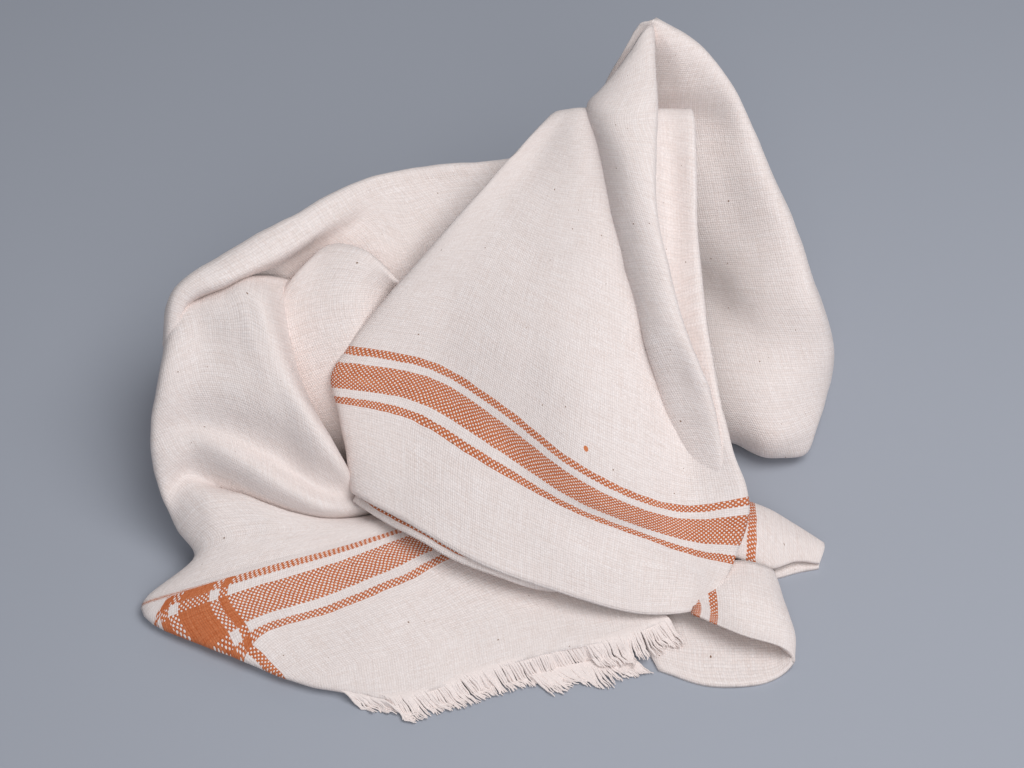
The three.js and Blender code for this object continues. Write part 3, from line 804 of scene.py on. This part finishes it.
def in_stripes(tree, distance):
    """One where a distance from the edge lies in a stripe, and zero elsewhere."""
    total = 0.0
    for low, high in STRIPES_MM:
        off_middle = put(tree, "ShaderNodeMath", {
            0: distance, 1: (low + high) / 2 * MM,
        }, operation="SUBTRACT")
        away = put(tree, "ShaderNodeMath", {0: off_middle.outputs[0]}, operation="ABSOLUTE")
        inside = put(tree, "ShaderNodeMath", {
            0: away.outputs[0], 1: (high - low) / 2 * MM,
        }, operation="LESS_THAN")
        total = put(tree, "ShaderNodeMath", {
            0: inside.outputs[0], 1: total,
        }, operation="ADD").outputs[0]
    return total


def dyed_threads(tree, weave, across, along):
    """One where a dyed thread shows: the warp of a side border or the weft of an end border."""
    warp_shows = put(tree, "ShaderNodeMath", {
        0: weave, 1: -WARP_BORDER_COVER,
    }, operation="GREATER_THAN")
    weft_shows = put(tree, "ShaderNodeMath", {
        0: weave, 1: WEFT_BORDER_COVER,
    }, operation="LESS_THAN")
    side_border = put(tree, "ShaderNodeMath", {
        0: in_stripes(tree, across), 1: warp_shows.outputs[0],
    }, operation="MULTIPLY")
    end_border = put(tree, "ShaderNodeMath", {
        0: in_stripes(tree, along), 1: weft_shows.outputs[0],
    }, operation="MULTIPLY")
    return put(tree, "ShaderNodeMath", {
        0: side_border.outputs[0], 1: end_border.outputs[0],
    }, operation="MAXIMUM").outputs[0]


print("the border ends", STRIPES_MM[-1][1], "mm from the side edge")

# %% [markdown]
# Hand-spun yarn is thick and thin in turn. The slubs could be painted as spots, but noise that is
# drawn out along each thread keeps a slub in its own thread. Where the yarn is thick it is also
# paler. Shade is painted into the hollows between the threads: a factor that multiplies the colour
# darkens them a little, and so suits natural and dyed yarn.

# %% Slubs and the colour of the yarn
NATURAL = "f6ece9"
NATURAL_SHADE = "e9dad4"
RUST = "bc5f31"
RUST_PALE = "d68257"
SLUBS_ALONG = 60.0  # slubs per metre of thread
SLUBS_ACROSS = 950.0  # and per metre across the threads, about one for each
NOISE_LOW, NOISE_HIGH = 0.3, 0.7  # most of a noise texture's values lie between these
# Shade is painted into the hollows between the threads: below this crown the colour darkens, down to
# this factor.
PAINTED_SHADE_BELOW = 0.5  # where the crown is lower than this, the hollow between threads begins
PAINTED_HOLLOW_SHADE = 0.84  # the factor at the bottom of the hollow


def slub_noise(tree, place, per_metre):
    """Noise drawn out along one kind of thread."""
    drawn = put(tree, "ShaderNodeVectorMath", {0: place, 1: per_metre}, operation="MULTIPLY")
    return put(tree, "ShaderNodeTexNoise", {
        "Vector": drawn.outputs[0], "Scale": 1.0, "Detail": 2.0,
    }).outputs["Fac"]


def thread_slubs(tree, place, warp_on_top):
    """The slubs of whichever thread is on top."""
    weft = slub_noise(tree, place, (SLUBS_ALONG, SLUBS_ACROSS, 1.0))
    warp = slub_noise(tree, place, (SLUBS_ACROSS, SLUBS_ALONG, 1.0))
    return put(tree, "ShaderNodeMix", {
        "Factor": warp_on_top, "A": weft, "B": warp,
    }, data_type="FLOAT").outputs["Result"]


def yarn_colour(tree, slubs, dyed, crown):
    """Natural or rust yarn, paler on slubs, and with shade painted between the threads."""
    tone = put(tree, "ShaderNodeMapRange", {
        "Value": slubs, "From Min": NOISE_LOW, "From Max": NOISE_HIGH,
    }).outputs[0]
    natural = put(tree, "ShaderNodeMix", {
        "Factor": tone, "A": linear(NATURAL_SHADE), "B": linear(NATURAL),
    }, data_type="RGBA")
    rust = put(tree, "ShaderNodeMix", {
        "Factor": tone, "A": linear(RUST), "B": linear(RUST_PALE),
    }, data_type="RGBA")
    yarn = put(tree, "ShaderNodeMix", {
        "Factor": dyed, "A": natural.outputs["Result"], "B": rust.outputs["Result"],
    }, data_type="RGBA")
    # Painted shade: the colour is darkened where the crown of the thread is low, between the threads.
    painted_shade = put(tree, "ShaderNodeMapRange", {
        "Value": crown, "From Max": PAINTED_SHADE_BELOW, "To Min": PAINTED_HOLLOW_SHADE, "To Max": 1.0,
    })
    return put(tree, "ShaderNodeMix", {
        "Factor": 1.0, "A": yarn.outputs["Result"], "B": painted_shade.outputs[0],
    }, data_type="RGBA", blend_type="MULTIPLY").outputs["Result"]


print("a slub is about", round(1000 / SLUBS_ALONG), "mm long")

# %% [markdown]
# Bits of seed case stay in hand-spun cotton as small brown flecks, and near one border a tuft of
# dyed fibre was spun into a natural thread. Washing raises a short nap, which softens the weave.
# The flecks are the middles of Voronoi cells, which spreads them over the cloth, and each has its
# own size. A real nap is finer than this noise, which is as fine as the view can show.

# %% Seed flecks, the tuft and the nap
SEED_FLECK = "8a6a55"
FLECKS_PER_METRE = 130.0
FLECK_SIZE = 0.06  # the largest fleck's radius, as a share of the distance between flecks
RUST_FIBRE_AT = (0.0788, 0.272, 0.0)  # the tuft's place on the flat towel, in metres
RUST_FIBRE_SIZE = 0.0012
NAP_PER_METRE = 520.0
NAP_TONES = (0.93, 1.03)  # the nap's darkest and lightest tone


def add_flecks(tree, place, colour):
    """The colour with seed flecks on it."""
    spots = put(tree, "ShaderNodeTexVoronoi", {
        "Vector": place, "Scale": FLECKS_PER_METRE,
    }, feature="F1")
    own = put(tree, "ShaderNodeSeparateColor", {0: spots.outputs["Color"]}).outputs[0]
    radius = put(tree, "ShaderNodeMath", {0: own, 1: FLECK_SIZE}, operation="MULTIPLY")
    near = put(tree, "ShaderNodeMath", {
        0: spots.outputs["Distance"], 1: radius.outputs[0],
    }, operation="LESS_THAN")
    return put(tree, "ShaderNodeMix", {
        "Factor": near.outputs[0], "A": colour, "B": linear(SEED_FLECK),
    }, data_type="RGBA").outputs["Result"]


def add_tuft(tree, place, colour):
    """The colour with the tuft of rust fibre on it."""
    from_tuft = put(tree, "ShaderNodeVectorMath", {
        0: place, 1: RUST_FIBRE_AT,
    }, operation="DISTANCE")
    caught = put(tree, "ShaderNodeMath", {
        0: from_tuft.outputs["Value"], 1: RUST_FIBRE_SIZE,
    }, operation="LESS_THAN")
    return put(tree, "ShaderNodeMix", {
        "Factor": caught.outputs[0], "A": colour, "B": linear(RUST_PALE),
    }, data_type="RGBA").outputs["Result"]


def add_nap(tree, nap, colour):
    """The colour with the faint tones of the nap."""
    tone = put(tree, "ShaderNodeMapRange", {
        "Value": nap, "From Min": NOISE_LOW, "From Max": NOISE_HIGH, "To Min": NAP_TONES[0],
        "To Max": NAP_TONES[1],
    })
    return put(tree, "ShaderNodeMix", {
        "Factor": 1.0, "A": colour, "B": tone.outputs[0],
    }, data_type="RGBA", blend_type="MULTIPLY").outputs["Result"]


print("seed flecks about", round(1000 / FLECKS_PER_METRE, 1), "mm apart")

# %% [markdown]
# The parts come together in one material. Cotton scatters light in its fibres, so it is rough with
# hardly any gloss, and a low sheen stands for the fibres that catch the light at the folds. Threads
# in the mesh would take millions of faces, so threads, slubs and nap are a bump.

# %% Cotton weave
CROWN_HEIGHT = 0.0004  # the crown of a thread above the hollows, in metres
SLUB_HEIGHT = 0.8  # from the thinnest to the thickest yarn, in crowns of a thread
NAP_HEIGHT = 1.6  # from the lowest to the highest tuft of nap


def weave_material():
    """Hand-spun cotton, plain woven and washed: matt, softly knobbly, with slubs and seed flecks."""
    material, tree, output = new_material("hand-spun cotton plain weave")
    place = put(tree, "ShaderNodeUVMap", uv_map=PLACE_MAP).outputs["UV"]
    across, along = strayed_place(tree, place)
    weave, warp_on_top, crown = crossings(tree, across, along)
    slubs = thread_slubs(tree, place, warp_on_top)
    nap = put(tree, "ShaderNodeTexNoise", {
        "Vector": place, "Scale": NAP_PER_METRE, "Detail": 4.0, "Roughness": 0.65,
    }).outputs["Fac"]
    colour = yarn_colour(tree, slubs, dyed_threads(tree, weave, across, along), crown)
    colour = add_nap(tree, nap, add_tuft(tree, place, add_flecks(tree, place, colour)))
    height = put(tree, "ShaderNodeMath", {
        0: slubs, 1: SLUB_HEIGHT, 2: crown,
    }, operation="MULTIPLY_ADD")
    height = put(tree, "ShaderNodeMath", {
        0: nap, 1: NAP_HEIGHT, 2: height.outputs[0],
    }, operation="MULTIPLY_ADD")
    bump = put(tree, "ShaderNodeBump", {
        "Height": height.outputs[0], "Strength": 0.4, "Distance": CROWN_HEIGHT,
    })
    shader = put(tree, "ShaderNodeBsdfPrincipled", {
        "Base Color": colour, "Roughness": 0.92, "Sheen Weight": 0.12, "Sheen Roughness": 0.5,
        "Specular IOR Level": 0.25, "Normal": bump.outputs["Normal"],
    })
    tree.links.new(shader.outputs["BSDF"], output.inputs["Surface"])
    return material


cotton = weave_material()
print("the cotton has", len(cotton.node_tree.nodes), "nodes")

# %% [markdown]
# Now the folds themselves. All of them are one length of cloth, so they are joined to one piece.
# They pass into each other where they meet, and each keeps its own places.

# %% The towel
FOLDS = {
    "lobe": (lobe, lobe_places),
    "flap": (surface(FLAP), flap_places),
    "second layer": (surface(UNDER_HEM), second_layer_places),
    "pleat": (surface(PLEAT), plain_places),
    "back": (surface(BACK), plain_places),
    "rim": (surface(RIM), plain_places),
    "inner": (surface(INNER), plain_places),
    "right fold": (surface(RIGHT_FOLD), right_fold_places),
    "right tip": (surface(RIGHT_TIP), right_tip_places),
}


def make_towel():
    """The folds as one mesh of closed sheets."""
    sheets = [closed_sheet(rumple(grid), *places(grid)) for grid, places in FOLDS.values()]
    return join_sheets("towel_cloth", sheets, cotton)


towel = make_towel()
print("the towel has", len(towel.data.polygons), "faces")

# %% [markdown]
# The fringe is the warp itself: its ends are loose, have fallen over the edge and are frayed by
# use to two or three yarns for each thread. Geometry Nodes suit it, because every yarn is the same
# short line set along the cloth's end, and only its lean, length and curl differ. The first part
# of the tree turns each yarn. Noise over the place leans the yarns in tufts, and a random value
# turns each a little on its own.

# %% Fringe tree: the lean of the yarns
TUFTS_PER_METRE = 70.0
OWN_LEAN = 0.08  # radians that a yarn leans on its own, to either side


def lean_angle(tree, given, where):
    """How far each yarn leans from the way out of the cloth."""
    tufts = put(tree, "ShaderNodeTexNoise", {
        "Vector": where, "Scale": TUFTS_PER_METRE, "Detail": 1.0,
    })
    shared = put(tree, "ShaderNodeMapRange", {
        "Value": tufts.outputs["Fac"], "From Min": NOISE_LOW, "From Max": NOISE_HIGH,
        "To Min": -1.0, "To Max": 1.0,
    })
    shared = put(tree, "ShaderNodeMath", {
        0: shared.outputs[0], 1: given["Spread"],
    }, operation="MULTIPLY")
    own = put(tree, "FunctionNodeRandomValue", {
        "Min": -OWN_LEAN, "Max": OWN_LEAN, "Seed": given["Seed"],
    }, data_type="FLOAT")
    both = put(tree, "ShaderNodeMath", {0: shared.outputs[0], 1: own.outputs[1]}, operation="ADD")
    return put(tree, "ShaderNodeMath", {
        0: both.outputs[0], 1: given["Lean"],
    }, operation="ADD").outputs[0]


def yarn_rotation(tree, given, where):
    """Each yarn's rotation: the way out of the cloth, turned by its lean."""
    out = put(tree, "GeometryNodeInputNamedAttribute", {"Name": "out"}, data_type="FLOAT_VECTOR")
    facing = put(tree, "FunctionNodeAlignRotationToVector", {
        "Vector": out.outputs[0],
    }, axis="X", pivot_axis="Z")
    turn = put(tree, "FunctionNodeAxisAngleToRotation", {
        "Axis": (0, 0, 1), "Angle": lean_angle(tree, given, where),
    })
    return put(tree, "FunctionNodeRotateRotation", {
        "Rotation": facing.outputs[0], "Rotate By": turn.outputs[0],
    }, rotation_space="GLOBAL").outputs[0]


print("tufts about", round(1000 / TUFTS_PER_METRE), "mm apart")

# %% [markdown]
# The line of the cloth's end becomes a curve with one point for each yarn, and a straight yarn of
# its own length is set on each point. The instances are realised here and not at the end of the
# tree, because each yarn is bent in its own way next. Every point keeps the height of its root.

# %% Fringe tree: planting the yarns
YARN_LENGTHS = (0.86, 1.08)  # the shortest and the longest yarn, as a share of the length
YARN_POINTS = 10


def plant_yarns(tree, given, where):
    """A straight yarn on each point of the line. Each keeps the height of its root."""
    line = put(tree, "GeometryNodeMeshToCurve", {"Mesh": given["Line"]})
    roots = put(tree, "GeometryNodeResampleCurve", {
        "Curve": line.outputs[0], "Count": given["Yarns"],
    })
    root_height = put(tree, "ShaderNodeSeparateXYZ", {0: where}).outputs["Z"]
    marked = put(tree, "GeometryNodeStoreNamedAttribute", {
        "Geometry": roots.outputs[0], "Name": "root height", "Value": root_height,
    }, data_type="FLOAT", domain="POINT")
    share = put(tree, "FunctionNodeRandomValue", {
        "Min": YARN_LENGTHS[0], "Max": YARN_LENGTHS[1], "Seed": given["Seed"],
    }, data_type="FLOAT")
    size = put(tree, "ShaderNodeMath", {
        0: share.outputs[1], 1: given["Length"],
    }, operation="MULTIPLY")
    straight = put(tree, "GeometryNodeCurvePrimitiveLine", {
        "Start": (0, 0, 0), "End": (1, 0, 0),
    }, mode="POINTS")
    yarn = put(tree, "GeometryNodeResampleCurve", {
        "Curve": straight.outputs[0], "Count": YARN_POINTS,
    })
    planted = put(tree, "GeometryNodeInstanceOnPoints", {
        "Points": marked.outputs[0], "Instance": yarn.outputs[0],
        "Rotation": yarn_rotation(tree, given, where), "Scale": size.outputs[0],
    })
    return put(tree, "GeometryNodeRealizeInstances", {0: planted.outputs[0]}).outputs[0]


print("each yarn has", YARN_POINTS, "points")

# %% [markdown]
# A loose yarn leaves the edge at the cloth's height and sinks to the floor further out, so the
# tree lowers each point by its share of the way along the yarn. Noise bends the yarn, more towards
# the tip, and no point sinks below the rest level. A simulation of hair would lay the yarns too,
# but these few steps give the same fall each time.

# %% Fringe tree: laying the yarns
DROP_FROM, DROP_TO = 0.2, 0.75  # a yarn sinks between these shares of its length
BENDS_PER_METRE = 260.0
BEND_MIDDLE = (0.5, 0.5, 0.35)  # noise of this value bends nothing, and more lifts the yarn
BEND_REACH = (0.3, 0.3, 0.25)  # the bend at the tip, as a share of the length
NO_LIMIT = -10.0  # metres, below every place in the scene


def yarn_height(tree, given, along):
    """The height of each point of a yarn, from its root down to the rest level."""
    stored = put(tree, "GeometryNodeInputNamedAttribute", {
        "Name": "root height",
    }, data_type="FLOAT")
    above = put(tree, "ShaderNodeMath", {
        0: stored.outputs[0], 1: given["Rest level"],
    }, operation="SUBTRACT")
    above = put(tree, "ShaderNodeMath", {0: above.outputs[0], 1: 0.0}, operation="MAXIMUM")
    drop = put(tree, "ShaderNodeMapRange", {
        "Value": along, "From Min": DROP_FROM, "From Max": DROP_TO, "To Min": 1.0, "To Max": 0.0,
    }, interpolation_type="SMOOTHSTEP")
    return put(tree, "ShaderNodeMath", {
        0: above.outputs[0], 1: drop.outputs[0], 2: given["Rest level"],
    }, operation="MULTIPLY_ADD").outputs[0]


def yarn_bend(tree, given, where, along):
    """The sideways shift of each point of a yarn."""
    bends = put(tree, "ShaderNodeTexNoise", {
        "Vector": where, "Scale": BENDS_PER_METRE, "Detail": 1.0,
    })
    bends = put(tree, "ShaderNodeVectorMath", {
        0: bends.outputs["Color"], 1: BEND_MIDDLE,
    }, operation="SUBTRACT")
    bends = put(tree, "ShaderNodeVectorMath", {
        0: bends.outputs[0], 1: BEND_REACH,
    }, operation="MULTIPLY")
    reach = put(tree, "ShaderNodeMath", {0: along, 1: given["Length"]}, operation="MULTIPLY")
    return put(tree, "ShaderNodeVectorMath", {
        0: bends.outputs[0], "Scale": reach.outputs[0],
    }, operation="SCALE").outputs[0]


def lay_yarns(tree, given, where, along, yarns):
    """The yarns moved to their height, bent, and kept above the rest level."""
    flat = put(tree, "ShaderNodeVectorMath", {0: where, 1: (1, 1, 0)}, operation="MULTIPLY")
    height = put(tree, "ShaderNodeCombineXYZ", {"Z": yarn_height(tree, given, along)})
    place = put(tree, "ShaderNodeVectorMath", {
        0: flat.outputs[0], 1: height.outputs[0],
    }, operation="ADD")
    place = put(tree, "ShaderNodeVectorMath", {
        0: place.outputs[0], 1: yarn_bend(tree, given, where, along),
    }, operation="ADD")
    lowest = put(tree, "ShaderNodeCombineXYZ", {
        "X": NO_LIMIT, "Y": NO_LIMIT, "Z": given["Rest level"],
    })
    place = put(tree, "ShaderNodeVectorMath", {
        0: place.outputs[0], 1: lowest.outputs[0],
    }, operation="MAXIMUM")
    return put(tree, "GeometryNodeSetPosition", {
        "Geometry": yarns, "Position": place.outputs[0],
    }).outputs[0]


print("a yarn sinks to the floor over", round(100 * (DROP_TO - DROP_FROM)), "% of its length")

# %% [markdown]
# Last, each line gets a round section that thins to the tip. Five sides are enough for a yarn of
# one millimetre. The sizes are inputs of the tree, so that it serves every line of the fringe.

# %% Fringe tree: thickening the yarns
THIN_FROM = 0.5  # a yarn thins from this share of its length
TIP_WIDTH = 0.45  # the tip's width, as a share of the yarn's
YARN_SIDES = 5
FRINGE_INPUTS = {
    "Line": "Geometry", "Yarns": "Int", "Length": "Float", "Yarn width": "Float", "Lean": "Float",
    "Spread": "Float", "Rest level": "Float", "Seed": "Int",
}


def thicken_yarns(tree, given, along, yarns):
    """A round section for each yarn, thinner towards its tip."""
    thin = put(tree, "ShaderNodeMapRange", {
        "Value": along, "From Min": THIN_FROM, "To Min": 1.0, "To Max": TIP_WIDTH,
    })
    radius = put(tree, "ShaderNodeMath", {0: given["Yarn width"], 1: 0.5}, operation="MULTIPLY")
    radius = put(tree, "ShaderNodeMath", {
        0: radius.outputs[0], 1: thin.outputs[0],
    }, operation="MULTIPLY")
    sized = put(tree, "GeometryNodeSetCurveRadius", {"Curve": yarns, "Radius": radius.outputs[0]})
    section = put(tree, "GeometryNodeCurvePrimitiveCircle", {
        "Resolution": YARN_SIDES, "Radius": 1.0,
    }, mode="RADIUS")
    width = put(tree, "GeometryNodeInputRadius")
    return put(tree, "GeometryNodeCurveToMesh", {
        "Curve": sized.outputs[0], "Profile Curve": section.outputs[0], "Fill Caps": True,
        "Scale": width.outputs[0],
    }).outputs[0]


def fringe_tree(material):
    """Yarns along a line. The line's points carry the way out of the cloth."""
    tree = bpy.data.node_groups.new("fringe along a line", "GeometryNodeTree")
    for name, kind in FRINGE_INPUTS.items():
        tree.interface.new_socket(name, in_out="INPUT", socket_type="NodeSocket" + kind)
    tree.interface.new_socket("Yarns", in_out="OUTPUT", socket_type="NodeSocketGeometry")
    given = put(tree, "NodeGroupInput").outputs
    where = put(tree, "GeometryNodeInputPosition").outputs[0]
    along = put(tree, "GeometryNodeSplineParameter").outputs["Factor"]
    yarns = lay_yarns(tree, given, where, along, plant_yarns(tree, given, where))
    yarns = thicken_yarns(tree, given, along, yarns)
    coated = put(tree, "GeometryNodeSetMaterial", {"Geometry": yarns, "Material": material})
    put(tree, "NodeGroupOutput", {0: coated.outputs[0]})
    return tree


print("the tree takes", len(FRINGE_INPUTS), "inputs")

# %% [markdown]
# The loose yarn is the same cotton as the cloth. Seen close it is a soft twist of fibres, matt and
# slightly uneven in tone. A finer twist would be truer, but this one is as fine as the view shows.

# %% Loose yarn
TWIST_PER_METRE = 1800.0
TWIST_HEIGHT = 0.0003


def fringe_material():
    """Loose cotton yarn: the cloth's own natural colour, matt and softly twisted."""
    material, tree, output = new_material("loose cotton yarn")
    place = put(tree, "ShaderNodeTexCoord").outputs["Object"]
    twist = put(tree, "ShaderNodeTexNoise", {
        "Vector": place, "Scale": TWIST_PER_METRE, "Detail": 2.0,
    }).outputs["Fac"]
    tone = put(tree, "ShaderNodeMix", {
        "Factor": twist, "A": linear(NATURAL_SHADE), "B": linear(NATURAL),
    }, data_type="RGBA")
    bump = put(tree, "ShaderNodeBump", {
        "Height": twist, "Strength": 0.5, "Distance": TWIST_HEIGHT,
    })
    shader = put(tree, "ShaderNodeBsdfPrincipled", {
        "Base Color": tone.outputs["Result"], "Roughness": 0.9, "Sheen Weight": 0.2,
        "Specular IOR Level": 0.25, "Normal": bump.outputs["Normal"],
    })
    tree.links.new(shader.outputs["BSDF"], output.inputs["Surface"])
    return material


yarn_tree = fringe_tree(fringe_material())
print("the fringe tree has", len(yarn_tree.nodes), "nodes")

# %% [markdown]
# The yarns grow from lines along the lobe's first row. The end is not one line: its left corner
# turns up along the lobe, its right part lies on the lower fold, and under that part the towel's
# other layer shows a second rank. Each line is a mesh of points and edges that carries the way out
# of the cloth at every point.

# %% Lines that the yarns grow from
FRINGE_START = 0.004  # the yarns show on the cloth this far behind its edge
YARN_LIFT = 0.0009  # there they lie on its upper face
WAY_OUT_STEPS = 2  # the way out of the cloth is taken over this many grid steps
FIRST_ROOT = 2  # grid step of the first yarn beside the corner
CORNER_STEPS = 3  # grid steps of the corner that turns up along the lobe
CORNER_OVERLAP = 6  # grid steps that it shares with the straight end
CORNER_LENGTH = 1.25  # its yarns are longer than the others by this factor
CORNER_COLUMN = 14  # grid steps to the place whose way out the corner's yarns share
OVER_FOLD_FROM = 0.0349  # right of here the yarns lie on the lower fold
OVER_FOLD_LEVEL = 0.0026
SECOND_RANK = (0.008, 0.052)  # the towel's other layer shows its own fringe between these
SECOND_RANK_OUT = 0.0040  # how far it lies beyond the first
SECOND_RANK_HEIGHT = 0.0018


def end_line(grid):
    """Points along the cloth's visible end and the way out of the cloth at each."""
    edge, inner = grid[0, LOBE_EDGE:], grid[WAY_OUT_STEPS, LOBE_EDGE:]
    outward = (edge - inner) * (1, 1, 0)
    return edge, outward / np.linalg.norm(outward, axis=1, keepdims=True)


def fringe_lines(grid):
    """The lines that yarns grow from: name, points, ways out, rest level and factor of length."""
    edge, outward = end_line(grid)
    outward[:CORNER_COLUMN] = outward[CORNER_COLUMN]
    roots = edge - outward * FRINGE_START + (0, 0, YARN_LIFT)
    side = grid[CORNER_STEPS:0:-1, LOBE_EDGE] + (0, 0, YARN_LIFT)
    corner = np.concatenate([side, edge[:CORNER_OVERLAP]])
    over = np.flatnonzero(edge[:, 0] > OVER_FOLD_FROM)[0]
    second = (edge[:, 0] > SECOND_RANK[0]) & (edge[:, 0] < SECOND_RANK[1])
    low = (edge + outward * SECOND_RANK_OUT) * (1, 1, 0) + (0, 0, SECOND_RANK_HEIGHT)
    left = slice(FIRST_ROOT, over + 1)
    return (
        ("corner", corner, np.tile(outward[0], (len(corner), 1)), 0.0, CORNER_LENGTH),
        ("left", roots[left], outward[left], 0.0, 1.0),
        ("right", roots[over:], outward[over:], OVER_FOLD_LEVEL, 1.0),
        ("second", low[second], outward[second], 0.0, 1.0),
    )


def line_object(name, points, outward):
    """A mesh of points and edges, with the way out of the cloth as an attribute."""
    mesh = bpy.data.meshes.new(name)
    mesh.from_pydata(points.tolist(), [(k, k + 1) for k in range(len(points) - 1)], [])
    ways = mesh.attributes.new("out", "FLOAT_VECTOR", "POINT")
    ways.data.foreach_set("vector", outward.ravel())
    made = bpy.data.objects.new(name, mesh)
    bpy.context.scene.collection.objects.link(made)
    return made


def line_length(points):
    """The length of a line through points."""
    return np.linalg.norm(np.diff(points, axis=0), axis=1).sum()


lines = fringe_lines(lobe)
print("lines of", [round(float(line_length(points)), 3) for _, points, *_ in lines], "m")

# %% [markdown]
# The values are those of the real yarn. A frayed yarn is nearly as wide as a thread of the cloth,
# because loose cotton puffs up. The tree runs on each line, the result becomes a plain mesh, and
# the ranks are joined to one piece.

# %% Making the fringe
FRINGE = {"Yarn width": 0.0010, "Lean": 0.2, "Spread": 0.3, "Seed": 7}
FRINGE_LENGTH = 0.0150
YARNS_PER_METRE = 2600


def apply_nodes(line, tree, values):
    """Puts the tree on a line, gives its inputs their values and returns a plain mesh."""
    modifier = line.modifiers.new("nodes", "NODES")
    modifier.node_group = tree
    sockets = [item for item in tree.interface.items_tree if item.in_out == "INPUT"]
    inputs = {item.name: item.identifier for item in sockets}
    for name, value in values.items():
        modifier[inputs[name]] = value
    graph = bpy.context.evaluated_depsgraph_get()
    mesh = bpy.data.meshes.new_from_object(line.evaluated_get(graph))
    line.modifiers.clear()
    return mesh


def make_rank(name, points, outward, level, longer):
    """The yarns of one line."""
    line = line_object("fringe line " + name, points, outward)
    mesh = apply_nodes(line, yarn_tree, FRINGE | {
        "Yarns": round(YARNS_PER_METRE * line_length(points)),
        "Length": FRINGE_LENGTH * longer,
        "Rest level": level + FRINGE["Yarn width"] / 2,
    })
    bpy.data.objects.remove(line)
    rank = bpy.data.objects.new("fringe_yarns", mesh)
    bpy.context.scene.collection.objects.link(rank)
    return rank


def make_fringe():
    """One object of all the yarns."""
    ranks = [make_rank(*line) for line in lines]
    with bpy.context.temp_override(active_object=ranks[0], selected_editable_objects=ranks):
        bpy.ops.object.join()
    return ranks[0]


fringe = make_fringe()
print("the fringe has", len(fringe.data.polygons), "faces")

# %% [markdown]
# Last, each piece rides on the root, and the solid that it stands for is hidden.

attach(towel, "root")
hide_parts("towel")
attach(fringe, "root")
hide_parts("fringe")
